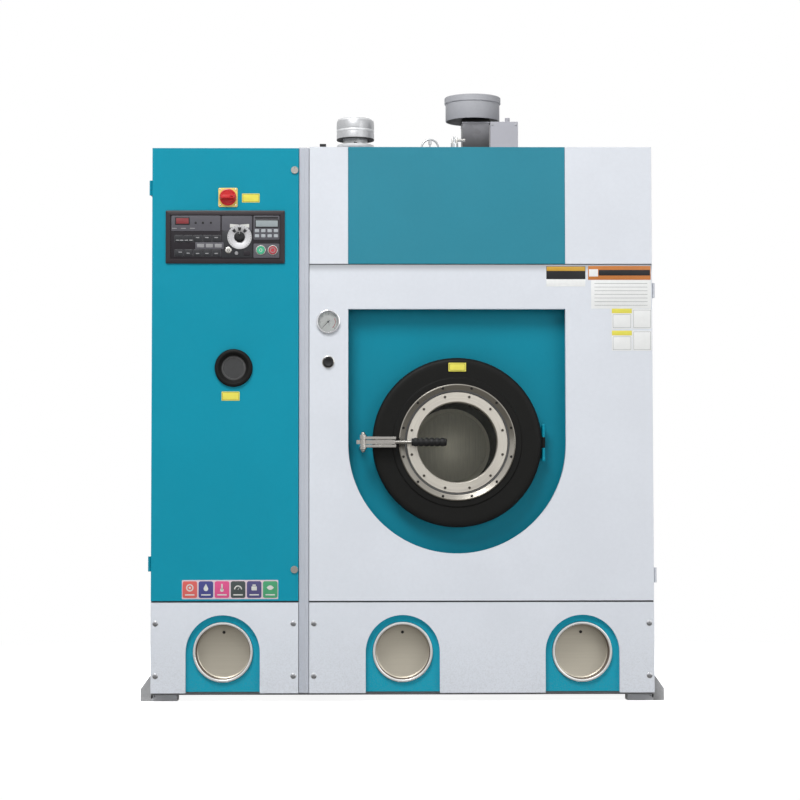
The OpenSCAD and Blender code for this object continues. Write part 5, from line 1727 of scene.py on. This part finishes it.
@dataclass
class ServicePanel(Assembly):
    """The large white panel with the gauge, the release button and blank plates."""

    body: str = "service_panel"
    slot: str = "panel_white"
    face: float = 525.0  # how far out the panel lies
    gauge: Point2 = (-223.0, 1138.0)  # middle of the gauge
    release: Point2 = (-223.0, 1017.0)  # middle of the release button

    def pressure_gauge(self) -> None:
        """Builds the gauge's case, face, ticks and glass."""
        u, v = self.gauge
        gauge = self.on(self.body, "gauge_steel")
        case = [(0, 465.5), (33, 465.5), (33, 519), (36, 519), (36, 531.6), (35.2, 533.4), (33.4, 534),
                (31.6, 533.6), (31.0, 532.2), (31.0, 519.4), (0, 519.4)]
        gauge.turn("gauge_body", self.gauge, case, CHROME, "gauge_case", steps=72)
        face = [(0, 519.2), (30.9, 519.2), (30.9, 520.0), (0, 520.0)]
        gauge.turn("gauge_face", self.gauge, face, GAUGE_FACE, "gauge_case")
        place = (u, -520.0, v)
        for name, wide, tall, corner, front, finish, radius, count, first, sweep in (
            ("long_ticks", 0.5, 3.4, 0.3, 0.15, MARK_DARK, 25.6, 7, -135, 315),
            ("short_ticks", 0.3, 1.7, 0.2, 0.15, MARK_DARK, 27.3, 31, -135, 279),
            ("red_arc", 1.2, 0.9, 0.2, 0.12, RED, 21.0, 16, 62, 84),
        ):
            tick = Stock().tray((-wide, -tall), (wide, tall), corner, -0.2, front, 0.05)
            gauge.ring(f"gauge_{name}", tick, finish, place, radius, count, first=first, sweep=sweep)
        glass = [(0, 531.0), (30.9, 531.0), (30.9, 532.0), (0, 532.6)]
        gauge.turn("gauge_glass", self.gauge, glass, GAUGE_GLASS)
        self.dress("gauge_needle", MARK_DARK)

    def release_button(self) -> None:
        """Builds the bezel and cap of the release button."""
        ring = [(15.3, 504), (19, 504), (19, 528.4), (18.2, 529.6), (16.8, 530), (15.6, 529.4),
                (15.3, 528.6)]
        self.turn("release_ring", self.release, ring, SCREW, "release_bezel", steps=48, slot="knob_black")
        cap = [(0, 510), (15, 510), (15, 533), (14.2, 534.4), (12.8, 535), (10.5, 534.6), (9, 534.0),
               (0, 533.6)]
        button = self.on("release_button", "button_black")
        button.turn("release_cap", self.release, cap, BLACK_PLASTIC, "release_button", steps=48)

    def plates(self) -> None:
        """Sticks on the blank plates of the upper right corner."""
        for name, low, high, finish, out in (
            ("dark_plate", (434, 1267), (552, 1306), MARK_DARK, 0.0),
            ("ochre_band", (435, 1292), (551, 1305), LABEL_OCHRE, 0.4),
            ("pale_plate", (434, 1245), (552, 1266.5), LABEL_WHITE, 0.0),
            ("orange_plate", (560, 1265), (749, 1307), LABEL_ORANGE, 0.0),
            ("orange_plate_bar", (592, 1278), (747, 1295), MARK_DARK, 0.4),
            ("orange_plate_square", (563, 1275), (590, 1297), LABEL_WHITE, 0.4),
            ("long_card", (569, 1178), (750, 1264), LABEL_WHITE, 0.0),
            ("card_0", (631, 1117), (691.5, 1163.5), LABEL_WHITE, 0.0),
            ("card_1", (693, 1117), (751, 1177), LABEL_WHITE, 0.0),
            ("card_2", (631, 1051), (691.5, 1096.5), LABEL_WHITE, 0.0),
            ("card_3", (693, 1051), (751, 1111.5), LABEL_WHITE, 0.0),
            ("upper_band", (631, 1164), (691.5, 1178), LABEL_YELLOW, 0.0),
            ("lower_band", (631, 1097), (691.5, 1111.5), LABEL_YELLOW, 0.0),
        ):
            back = self.face - 0.2 + out
            self.tray(name, low, high, (1.2, back, back + 0.6, 0.15), finish)
            if name.startswith("card_"):
                inner = (low[0] + 3, low[1] + 3), (high[0] - 3, high[1] - 3)
                line = frame_line(*inner, 1.0, self.face + 0.3, self.face + 0.55)
                self.add(f"{name}_line", line, LABEL_LINE)
        rule = Stock().tray((-80, -0.6), (80, 0.6), 0.4, -0.2, 0.15, 0.05)
        start = (659, -self.face - 0.4, 1254)
        self.rows("long_card_rules", rule, LABEL_LINE, start, (0, 0, -11), 7)

    def build(self) -> None:
        """Builds everything that the panel carries."""
        self.soften("service_panel", PANEL_WHITE, 2.0)
        self.pressure_gauge()
        self.release_button()
        self.plates()


@dataclass
class LoadingDoor(Assembly):
    """The round loading door with its rings, glass, bolts and handle."""

    body: str = "loading_door"
    slot: str = "cover_black"
    centre: Point2 = (164.0, 775.0)  # middle of the door

    def rings(self) -> None:
        """Rounds the cover ring, the outer ring and the clamp ring, and sets their screws."""
        self.soften("door_cover_ring", BLACK_COVER, 3.0)
        self.soften("door_outer_ring", RING_STEEL, 1.4, "door_steel")
        self.soften("door_clamp_ring", CLAMP_STEEL, 0.8, "clamp_steel")
        self.dress("door_glass", DOOR_GLASS)
        self.dress("door_gasket", SEAL_RUBBER)
        seal = [(152.4, 520), (154.4, 520), (156.6, 528), (157.2, 530.6), (156.4, 531.4), (153.4, 530.8),
                (152.4, 529.2)]
        self.turn("clamp_seal", self.centre, seal, SEAL_RUBBER, steps=96, slot="seal_rubber")
        u, v = self.centre
        for name, radius, out, finish in (
            ("clamp_bolts", 141.0, 528.0, BOLT_STEEL), ("rim_bolts", 167.0, 536.6, BLACK_OXIDE),
        ):
            screw, place = socket_screw(4.0, 3.0), (u, -out, v)
            self.ring(name, screw, finish, place, radius, 12, "door_bolts", first=15, slot="bolt_dark")

    def handle(self) -> None:
        """Builds the ribbed grip and polishes the lever."""
        self.soften("handle_bracket", LEVER_STEEL, 1.0, "handle_chrome")
        lever = self.on("door_handle", "handle_chrome")
        lever.soften("handle_lever", LEVER_STEEL, 0.8)
        profile = [(0, 26.2), (9.6, 26.2), (10.8, 27.4), (11.4, 30.0)]
        swell = [(10.6, 0.0), (11.9, 1.6), (12.8, 4.4), (13.0, 7.0), (12.8, 9.6), (11.9, 12.4),
                 (10.6, 14.0)]
        for i in range(6):
            x = 32.0 + 16.0 * i
            profile += [(r, x + along) for r, along in swell]
        profile += [(11.6, 128.6), (10.4, 130.6), (7.5, 132.0), (0, 132.2)]
        side = {"slot": "grip_black", "facing": Facing.RIGHT}
        lever.turn("ribbed_grip", (-561, 775), profile, GRIP_RUBBER, "handle_grip", steps=40, **side)

    def sign(self) -> None:
        """Sticks a blank yellow sign on the cover ring."""
        self.tray("door_sign", (138, 988), (191, 1014), (1.5, 532.4, 534.0, 0.3), LABEL_YELLOW)
        self.add("door_sign_line", frame_line((141, 991), (188, 1011), 0.8, 533.8, 534.2), MARK_DARK)

    def hinges(self) -> None:
        """Rounds the hinges of all doors, and sets the rod of this one."""
        cabinet = self.on("cabinet", "screw_steel")
        for part, finish, span in (
            ("brackets", TEAL, (-200.0, 500.0)), ("left_hinges", TEAL, (-800.0, -700.0)),
            ("right_hinges", WHITE, (700.0, 800.0)),
        ):
            cabinet.soften("door_fittings", finish, 0.8, part=part, span=span)
        rod = [(0, 719), (2.6, 719.2), (4.6, 721), (5.4, 724), (4.6, 727), (3.3, 729), (3.3, 821),
               (4.6, 823), (5.4, 826), (4.6, 829), (2.6, 830.8), (0, 831)]
        cabinet.turn("hinge_rod", (425, -505), rod, CHROME, steps=20, facing=Facing.UP)

    def build(self) -> None:
        """Builds the whole door."""
        self.rings()
        self.handle()
        self.sign()
        self.hinges()


@dataclass
class Drum(Assembly):
    """The perforated drum and its hub."""

    body: str = "drum"
    slot: str = "drum_steel"
    centre: Point2 = (164.0, 775.0)  # the drum's axis
    mouth: float = 200.0  # radius of the opening
    inner: float = 340.0  # inner radius of the shell
    wall: float = 3.0  # thickness of the sheet
    front: float = 428.0  # how far out the front wall lies
    back: float = -63.0  # how far out the back wall lies
    columns: int = 84  # holes round the shell
    rows_deep: int = 19  # holes from front to back
    hub: float = 112.0  # radius of the hub's cover
    joint: float = 0.00005  # distance in metres below which two points of the shell are one

    def cell(self, deep: float) -> Stock:
        """Returns one piece of the shell with its hole, to be joined to its neighbours.

        Args:
            deep: Its length from front to back.

        Returns:
            The piece, still open all round.
        """
        stock = Stock()
        new = stock.mesh.verts.new
        layers = []
        for out in (0.0, self.wall):
            half = (self.inner + out) * math.tan(math.pi / self.columns)
            ring, hole = [], []
            for i in range(8):
                c, s = math.cos(math.pi * i / 4), math.sin(math.pi * i / 4)
                reach = max(abs(c), abs(s))
                ring.append(new((half * c / reach, out, deep / 2 * s / reach)))
                hole.append(new((deep * 0.27 * c, out, deep * 0.27 * s)))
            layers.append((ring, hole))
        for i in range(8):
            j = (i + 1) % 8
            for ring, hole in layers:
                stock.mesh.faces.new((ring[i], ring[j], hole[j], hole[i]))
            inside, outside = layers[0][1], layers[1][1]
            stock.mesh.faces.new((inside[i], inside[j], outside[j], outside[i]))
        return stock

    def shell(self) -> None:
        """Rolls the perforated shell and closes its two ends."""
        deep = (self.front - self.back) / self.rows_deep
        u, v = self.centre
        rolled = self.patterns.arc.make(
            "drum_cells", self.cell(deep), DRUM_STEEL, Facing.FRONT, Count=self.columns,
            Rows=self.rows_deep, Radius=self.inner * MM, First_angle=0.0,
            Angle_step=math.radians(360.0 / self.columns), Row_step=deep * MM,
            Centre=Vector((u, deep / 2 - self.front, v)) * MM,
        )
        mesh = bmesh.new()
        mesh.from_mesh(rolled.data)
        bpy.data.objects.remove(rolled, do_unlink=True)
        bmesh.ops.remove_doubles(mesh, verts=mesh.verts, dist=self.joint)
        open_edges = [edge for edge in mesh.edges if edge.is_boundary]
        for y in (-self.front * MM, -self.back * MM):
            rim = [e for e in open_edges if all(abs(corner.co.y - y) < 0.5 * MM for corner in e.verts)]
            bmesh.ops.bridge_loops(mesh, edges=rim)
        bmesh.ops.recalc_face_normals(mesh, faces=mesh.faces)
        self.fit(mesh_object("drum_shell", mesh), DRUM_STEEL, "drum_cage")

    def walls(self) -> None:
        """Builds the front and back walls, the lifters and the hub's cover."""
        mouth, outer, front, back, hub = self.mouth, self.inner + 1.5, self.front, self.back, self.hub
        lip = [(mouth, front - 3), (mouth + 2, front - 0.6), (mouth + 6, front), (outer, front),
               (outer, front - 3), (mouth + 12, front - 3), (mouth + 5, front - 7), (mouth + 1, front - 6)]
        self.turn("drum_front", self.centre, lip, DRUM_STEEL, "drum_cage", steps=84)
        pressed = [(radius, back + out) for radius, out in (
            (0, 0.4), (outer, 0.4), (outer, 3), (300, 3), (292, 7), (262, 7), (254, 3), (214, 3),
            (206, 7), (172, 7), (164, 3), (0, 3),
        )]
        # the back wall is darkened as painted shade
        self.turn("drum_back", self.centre, pressed, SHADED_WALL_STEEL, "drum_cage", steps=84)
        bar = ((-45, 0), (-36, 9), (-15, 46), (-8, 52), (8, 52), (15, 46), (36, 9), (45, 0))
        ends = ((388, 0.0), (386, 0.7), (376, 1.0), (-32, 1.0), (-40, 0.7), (-42, 0.0))
        loops = [[(across, 1 - up * share, out) for across, up in bar] for out, share in ends]
        lifter = Stock().loft(loops)
        place = (self.centre[0], 0, self.centre[1])
        self.ring("drum_lifters", lifter, DRUM_STEEL, place, self.inner, 3, "drum_cage", first=90)
        pot = [(0, back + 2), (hub + 16, back + 2), (hub + 16, back + 4.5), (hub + 5, back + 5.5),
               (hub + 1, back + 10), (hub, 34), (hub - 2, 40), (hub - 8, 43), (0, 45)]
        self.turn("hub_cover", self.centre, pot, HUB_STEEL, steps=84)

    def build(self) -> None:
        """Builds the drum's looks."""
        self.shell()
        self.walls()
        self.dress("drum_shaft", SHAFT_STEEL)
        self.soften("drum_pulley", CAST_IRON, 1.0, "cast_grey")
        self.on("motor_shaft", "cast_grey").soften("motor_pulley", CAST_IRON, 0.8)
        self.dress("fan_impeller", ZINC)


@dataclass
class RoofGear(Assembly):
    """What stands on the roof."""

    facing: Facing = Facing.UP
    roof: float = 1668.0  # height of the roof
    stack: Point2 = (226.0, -225.0)  # axis of the exhaust housing
    cowl: Point2 = (-143.0, -225.0)  # axis of the intake cowl

    def stand(
        self, name: str, axis: Point2, profile: list[Point2], finish: Finish, *replaced: str, slot: str = ""
    ) -> None:
        """Adds a shape turned about an upright axis, with heights above the roof."""
        lifted = [(radius, self.roof + up) for radius, up in profile]
        self.turn(name, axis, lifted, finish, *replaced, slot=slot)

    def exhaust(self) -> None:
        """Builds the round fan housing, the black painted shade under it and round the duct's top, the duct
        and the box.
        """
        case = [(0, 129.5), (81, 129.5), (81, 127.6), (82, 127), (84.4, 127), (85, 127.8), (85, 181.6),
                (88.4, 182.4), (88.4, 199.6), (86.6, 201.6), (0, 202)]
        self.stand("fan_housing", self.stack, case, FAN_PAINT, "exhaust_drum", slot="zinc_grey")
        # A black disc under the housing: painted shade.
        under = [(0, 128), (80.8, 128), (80.8, 130), (0, 130)]
        self.stand("fan_underside", self.stack, under, BLACK_COVER, slot="duct_dark")
        # The black collar at the duct's top is painted shade under the housing; the rim below it is the
        # duct's flange.
        for name, low, high, levels, finish in (
            ("duct_collar", (191.2, -286), (276.8, -164), (117, 129), BLACK_COVER),
            ("duct_rim", (190.6, -286.6), (277.4, -163.4), (114.6, 117), BOX_PAINT),
        ):
            shape = (3, self.roof + levels[0], self.roof + levels[1], 0.5)
            self.tray(name, low, high, shape, finish, slot="duct_dark")
        self.soften("exhaust_duct", DUCT_PAINT, 0.8, "duct_dark")
        self.soften("junction_box", BOX_PAINT, 1.4, "box_grey")
        marks = [(x, -325.6, self.roof + up) for up in (101, 9) for x in (284.0, 356.0)]
        self.spots("box_lid_screws", cross_screw(3.4, 1.2), PANEL_SCREW, marks)

    def vent_cowl(self) -> None:
        """Builds the banded intake cowl and its short neck."""
        for name, profile, finish in (
            ("cap", [(0, 126), (57.6, 126), (57.2, 128), (55, 132.5), (48, 136.5), (36, 139.4), (18, 141),
                     (0, 141)], COWL_SHEET),
            ("upper_band", [(0, 99), (58.4, 99), (58.9, 104), (59, 112), (58.6, 122), (57.4, 127),
                            (0, 127)], COWL_GREY),
            ("bead", [(0, 92), (58.4, 92), (59, 93.2), (59, 97.8), (58.4, 99.2), (0, 99.2)], COWL_SHEET),
            ("lower_band", [(0, 82), (45, 82), (58.7, 70.2), (59, 74), (58.8, 86), (58.2, 92.2),
                            (0, 92.2)], COWL_GREY),
            ("lip", [(37, 76), (55.5, 66.4), (58.6, 66.8), (59, 68), (59, 70.4), (37, 80)], COWL_DARK),
            ("neck", [(34, 0), (50, 0), (50, 2.4), (38.6, 3), (38, 4), (38, 79), (34, 79)], COWL_SHEET),
            ("skirt", [(37.5, 36), (57, 42), (58, 44), (58, 50), (56.5, 51.5), (37.5, 53)], COWL_SHEET),
        ):
            self.stand(f"cowl_{name}", self.cowl, profile, finish, "intake_cowl", slot="cowl_steel")
        hole = [(0, 36), (5.4, 36), (5.4, 38.6), (0, 38.9)]
        cap = [(0, 38), (3.6, 38), (3.6, 41), (2.4, 42.4), (0, 42.8)]
        for name, profile, finish, up in (
            ("cowl_screw_holes", hole, BLACK_OXIDE, 53), ("cowl_screw_cap", cap, LABEL_WHITE, 60),
        ):
            self.spots(name, Stock().turned(0, 0, profile, 20), finish, [(*self.cowl, self.roof + up)])

    def fittings(self) -> None:
        """Finishes the lifting ring, the bleed valve and the cable bracket."""
        for part, finish, edge, slot, span in (
            ("ring", ZINC_SCREW, 0.5, "", (40.0, 140.0)), ("valve", ZINC_SCREW, 0.6, "", (145.0, 180.0)),
            ("bracket", BLACK_PLASTIC, 0.6, "knob_black", (-260.0, -220.0)),
        ):
            self.soften("roof_fittings", finish, edge, slot, part, span)
        bolt = [(0, 3), (6, 3), (6, 9), (2.8, 10), (2.8, 38), (4.8, 39), (4.8, 49), (3.4, 50), (3.4, 53),
                (0, 54)]
        self.stand("lifting_bolt", (89.0, -325.0), bolt, ZINC_SCREW)
        pipe = [(0, 172), (4.2, 172), (4.2, 190), (5.6, 191), (5.6, 196), (0, 196)]
        self.turn("bleed_pipe", (-375, self.roof + 44), pipe, SCREW, steps=24, facing=Facing.RIGHT)
        stud = [(0, 20), (5.5, 20), (5.5, 36), (3.2, 38), (3.2, 52), (2.4, 54), (0, 54)]
        for name, x in (("left", 157.5), ("right", 169.5)):
            self.stand(f"valve_{name}_stud", (x, -375.0), stud, SCREW)

    def build(self) -> None:
        """Builds everything that stands on the roof."""
        self.exhaust()
        self.vent_cowl()
        self.fittings()


@dataclass
class Switchgear(Assembly):
    """The electrical bay behind the control door."""

    slot: str = "plate_grey"
    low: Point2 = (-713.0, 1150.0)  # lower left corner of the back plate
    high: Point2 = (-316.0, 1600.0)  # upper right corner of the back plate
    plate: float = 330.0  # how far out the back plate lies
    pitch: float = 55.0  # distance between the devices
    node: str = "control_backplate"  # the node that the bay stands for

    def inlaid(
        self, name: str, low: Point2, high: Point2, shape: tuple[float, ...], finish: Finish
    ) -> None:
        """Adds a tray of the bay, with its depths counted from the back plate."""
        radius, back, front, edge = shape
        shape = (radius, self.plate + back, self.plate + front, edge)
        self.tray(name, low, high, shape, finish, self.node)

    def copies(
        self, name: str, stock: Stock, finish: Finish, start: Point3, step: Point3, count: int,
        row_step: Point3 = (0.0, 0.0, 0.0), rows: int = 1,
    ) -> None:
        """Adds rows of one shape; places are across, up and outwards."""
        turn = Facing.FRONT.matrix
        start, step, row_step = (tuple(turn @ Vector(place) / MM) for place in (start, step, row_step))
        self.rows(name, stock, finish, start, step, count, self.node, row_step=row_step, rows=rows)

    def devices(self) -> None:
        """Builds the row of contactors and relays on their rail."""
        u, v, back = self.low[0] + 53, self.high[1] - 87.5, self.plate
        left, right, step = self.low[0] + 12, self.high[0] - 12, (self.pitch, 0, 0)
        rail = Stock()
        for bottom, top, near, far in ((-17, 17, 0, 4), (-17.5, -12, 4, 7), (12, 17.5, 4, 7)):
            rail.block((left, v + bottom, back + near), (right, v + top, back + far))
        self.add("device_rail", rail, ZINC_SCREW, self.node)
        for name, first, finish in (("contactors", 0, DEVICE_GREY), ("relays", 3, DEVICE_DARK)):
            body = Stock().tray((-22.6, -42), (22.6, 42), 2.5, back + 4, back + 52, 1.5)
            body.tray((-22.6, -27), (22.6, 27), 2, back + 50, back + 68, 1.2)
            body.tray((-13, -18), (13, 18), 2, back + 66, back + 77.5, 1.2)
            self.copies(name, body, finish, (u + first * self.pitch, v, 0), step, 3)
        slot = Stock().tray((-8, -4), (8, 4), 1, back + 77, back + 77.9, 0.2)
        self.copies("device_windows", slot, MARK_PALE, (u, v + 6, 0), step, 6)
        for part, offset in (("left", -14.6), ("middle", 0.0), ("right", 14.6)):
            cup = Stock().tray((-6.2, -5), (6.2, 5), 1, back + 51.5, back + 52.4, 0.2)
            for name, stock, finish, out in (
                ("terminal_cups", cup, MARK_DARK, 0),
                ("terminals", cross_screw(3.6, 1.6), BRASS, back + 52),
            ):
                place = (u + offset, v - 34.5, out)
                self.copies(f"{part}_{name}", stock, finish, place, step, 6, (0, 69, 0), 2)
        bend = [(0, rise, back + out) for rise, out in ((0, 53.6), (7, 56), (13, 54), (19, 46), (28, 40))]
        for part, offset, finish in (("black", -14.6, WIRE_BLACK), ("blue", 0.0, WIRE_BLUE)):
            wire = Stock().pipe(bend, 1.7, 8)
            self.copies(f"{part}_wires", wire, finish, (u + offset, v + 36, 0), step, 6)

    def trunking(self) -> None:
        """Builds two lengths of slotted wiring trunking."""
        back, half, left, right = self.plate, 17.0, self.low[0], self.high[0]
        for name, v in (("upper", self.high[1] - 24), ("lower", self.low[1] + 262)):
            duct = Stock().block((left + 10, v - half + 1, back), (right - 10, v + half - 1, back + 40))
            duct.block((left + 8, v - half, back + 42), (right - 8, v + half, back + 48), 1.0)
            self.add(f"{name}_trunking", duct, TRUNKING, self.node)
            finger = Stock().block((-2.6, -half, back + 2), (2.6, half, back + 42.5))
            self.copies(f"{name}_trunking_fingers", finger, TRUNKING, (left + 14, v, 0), (9.2, 0, 0), 41)

    def inverter(self) -> None:
        """Builds the drive inverter with its keypad and cooling slots."""
        back = self.plate
        low, high = (self.low[0] + 40, self.low[1] + 60), (self.high[0] - 40, self.low[1] + 230)
        left, right = low[0] + 6, high[0] - 6
        case = Stock().tray(low, high, 5, back, back + 74, 3)
        case.tray((left, low[1] + 44), (right, high[1] - 6), 8, back + 72, back + 86.5, 5)
        self.add("inverter_case", case, DEVICE_DARK, self.node)
        u, v = low[0] + 62, high[1] - 60
        for name, bottom, top, shape, finish in (
            ("inverter_lid", (left, low[1] + 5), (right, low[1] + 41), (3, 72, 78, 1.5), DEVICE_GREY),
            ("keypad", (u - 38, v - 46), (u + 38, v + 42), (4, 86, 89, 1), KEY_DARK),
            ("keypad_display", (u - 28, v + 12), (u + 28, v + 34), (2, 88.6, 89.4, 0.2), RED_DISPLAY),
        ):
            self.inlaid(name, bottom, top, shape, finish)
        key = Stock().tray((-8, -5.5), (8, 5.5), 2, back + 88.6, back + 90, 0.6)
        self.copies("keypad_keys", key, KEY_PALE, (u - 22, v - 2, 0), (22, 0, 0), 3, (0, -16, 0), 3)
        slit = Stock().tray((-44, -1.6), (44, 1.6), 1.4, back + 86, back + 86.9, 0.2)
        self.copies("inverter_slits", slit, MARK_DARK, (high[0] - 62, low[1] + 66, 0), (0, 9.5, 0), 10)

    def build(self) -> None:
        """Builds the plate, its cheeks and everything on it."""
        back = self.plate
        plate = Stock().tray(self.low, self.high, 0.5, back - 3, back, 0.4)
        for low, high in ((self.low[0], -710.0), (-319.0, self.high[0])):
            plate.block((low, self.low[1], back - 3), (high, self.high[1], 458.8))
        self.add("back_plate", plate, BACKPLATE, self.node)
        corners = [(u, -back, v) for u in (-700, -329) for v in (1162, 1588)]
        self.spots("plate_screws", cross_screw(5.0, 2.2), SCREW, corners, slot="screw_steel")
        self.devices()
        self.trunking()
        self.inverter()


@dataclass
class Machinery(Assembly):
    """The works inside the cabinet, which show through the open doors."""

    motor_back: float = 290.0  # where the motor's fins end

    def build(self) -> None:
        """Dresses the works and sets their bolts and fins."""
        for node, finish in (
            ("outer_tub", TUB_STEEL), ("bearing_housing", CAST_IRON), ("drum_bearings", SHAFT_STEEL),
            ("drive_motor", MOTOR_PAINT), ("drive_belt", BELT_RUBBER), ("pump_set", PUMP_PAINT),
            ("solvent_filter", VESSEL_STEEL), ("still_vessel", VESSEL_STEEL), ("air_duct", ZINC),
            ("refrigeration_set", COMPRESSOR_PAINT),
        ):
            self.dress(node, finish)
        for name, place, radius, count, size in (
            ("sight_flange_nuts", (-505, -479, 999), 49, 8, 4.4),
            ("cleaning_hatch_nuts", (-505, -285, 560), 101, 12, 5.5),
        ):
            self.ring(name, hex_nut(size, size, 2.0), SCREW, place, radius, count, first=15)
        fin = Stock().block((-1.1, -4, 0), (1.1, 5, 170))
        motor = (480, self.motor_back, 480)
        self.ring("motor_fins", fin, MOTOR_PAINT, motor, 90, 30, slot="motor_blue")


@dataclass
class Studio:
    """The floor, the lights and the camera."""

    camera_place: Point3 = (-0.0997, -7.575, 0.5495)  # where the camera stands, in metres
    yaw: float = 0.7493  # its turn to the right, in degrees
    pitch: float = 2.8670  # its tilt upwards, in degrees
    roll: float = -0.0713  # its roll, in degrees
    lens: float = 105.75  # its focal length
    fill: float = 0.33  # strength of the light from all round
    lift: float = 0.9  # how much the floor is lifted towards white where it is seen

    def camera(self) -> None:
        """Puts the camera where the photographer's stood."""
        yaw, pitch, roll = (math.radians(a) for a in (self.yaw, self.pitch, self.roll))
        ahead = Vector((math.sin(yaw) * math.cos(pitch), math.cos(yaw) * math.cos(pitch), math.sin(pitch)))
        right = Vector((math.cos(yaw), -math.sin(yaw), 0.0))
        up = right.cross(ahead)
        across = right * math.cos(roll) + up * math.sin(roll)
        above = up * math.cos(roll) - right * math.sin(roll)
        data = bpy.data.cameras.new("camera")
        data.lens = self.lens
        data.clip_start = 0.05
        made = placed("camera", data)
        turn = Matrix((across, above, -ahead)).transposed().to_4x4()
        made.matrix_world = Matrix.Translation(self.camera_place) @ turn
        bpy.context.scene.camera = made

    def floor(self) -> None:
        """Lays a pale floor that fades into the white surroundings and keeps its shadow."""
        mesh = bmesh.new()
        bmesh.ops.create_grid(mesh, x_segments=8, y_segments=8, size=30.0)
        made = mesh_object("studio_floor", mesh)
        surface = Surface("studio_floor")
        x, y, _ = surface.parted()
        far = (x * x + y * y) ** 0.5
        tone = surface.noise(3.0).ramp(0.2, 0.8, 0.84, 0.88)
        colour = surface.node("ShaderNodeCombineColor", None, {0: tone, 1: tone, 2: tone})
        pale = surface.node("ShaderNodeBsdfDiffuse", None, {"Color": colour})
        white = self.light(surface, WHITE_LIGHT, 1.0)
        lift = self.light(surface, WHITE_LIGHT, self.lift)
        lifted = surface.node("ShaderNodeAddShader", None, {0: pale, 1: lift})
        faded = surface.node("ShaderNodeMixShader", None, {0: far.ramp(1.2, 3.2), 1: lifted, 2: white})
        dull = self.light(surface, (0.3, 0.29, 0.27, 1.0), 1.0)
        glossy = self.rays(surface)[1]
        mirrored = surface.node("ShaderNodeMixShader", None, {0: glossy, 1: faded, 2: dull})
        shown = surface.node("ShaderNodeMixShader", None, {0: self.seen(surface), 1: pale, 2: mirrored})
        surface.node("ShaderNodeOutputMaterial", None, {"Surface": shown})
        made.data.materials.append(surface.material)

    def light(self, surface: Surface, colour: tuple[float, ...], strength: float) -> Channel:
        """Returns a shader that shines by itself."""
        return surface.node("ShaderNodeEmission", None, {"Color": colour, "Strength": strength})

    def rays(self, graph: Graph) -> list[Channel]:
        """Returns 1 each where the camera, a gloss or a glass looks, else 0."""
        path = graph.node("ShaderNodeLightPath").socket.node
        names = ("Is Camera Ray", "Is Glossy Ray", "Is Transmission Ray")
        return [Channel(graph, path.outputs[name]) for name in names]

    def seen(self, graph: Graph) -> Channel:
        """Returns 1 where the camera, a gloss or a glass looks, else 0."""
        rays = self.rays(graph)
        return rays[0].math("MAXIMUM", rays[1]).math("MAXIMUM", rays[2])

    def world(self) -> None:
        """Fills the surroundings with soft light, white where the camera or a gloss looks."""
        world = bpy.data.worlds.new("studio")
        world.use_nodes = True
        graph = Graph(world.node_tree)
        graph.tree.nodes.clear()
        strength = self.seen(graph) * (1.0 - self.fill) + self.fill
        inputs = {"Color": WHITE_LIGHT, "Strength": strength}
        back = graph.node("ShaderNodeBackground", None, inputs)
        graph.node("ShaderNodeOutputWorld", None, {"Surface": back})
        bpy.context.scene.world = world

    def lamp(self, name: str, place: Point3, aim: Point3, size: float, power: float) -> None:
        """Hangs a large soft lamp.

        Args:
            name: Its name.
            place: Where it hangs, in metres.
            aim: What it shines on.
            size: Its side, in metres.
            power: Its power in watts.
        """
        data = bpy.data.lights.new(name, "AREA")
        data.size = size
        data.energy = power
        made = placed(name, data)
        ahead = (Vector(aim) - Vector(place)).normalized()
        made.matrix_world = Matrix.Translation(place) @ ahead.to_track_quat("-Z", "Y").to_matrix().to_4x4()

    def build(self) -> None:
        """Sets up the studio."""
        self.camera()
        self.floor()
        self.world()
        self.lamp("key", (-1.4, -4.4, 5.0), (0.0, -0.5, 0.8), 2.4, 230.0)
        self.lamp("fill", (3.6, -6.0, 2.4), (0.0, -0.5, 0.8), 3.0, 60.0)
        self.lamp("back", (0.5, 5.0, 4.6), (0.0, 0.3, 1.0), 3.0, 110.0)
        bpy.context.scene.view_settings.view_transform = "Standard"


def main() -> None:
    """Builds the machine's looks round its frame."""
    logging.basicConfig(level=logging.INFO, format="%(message)s")
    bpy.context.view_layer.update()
    Studio().build()
    patterns = Patterns()
    for part in (
        Sheetwork, TankHatches, ControlColumn, ServicePanel, LoadingDoor, Drum, RoofGear, Switchgear,
        Machinery,
    ):
        LOG.info("building %s", part.__name__)
        part(patterns).build()


if __name__ == "__main__":
    main()
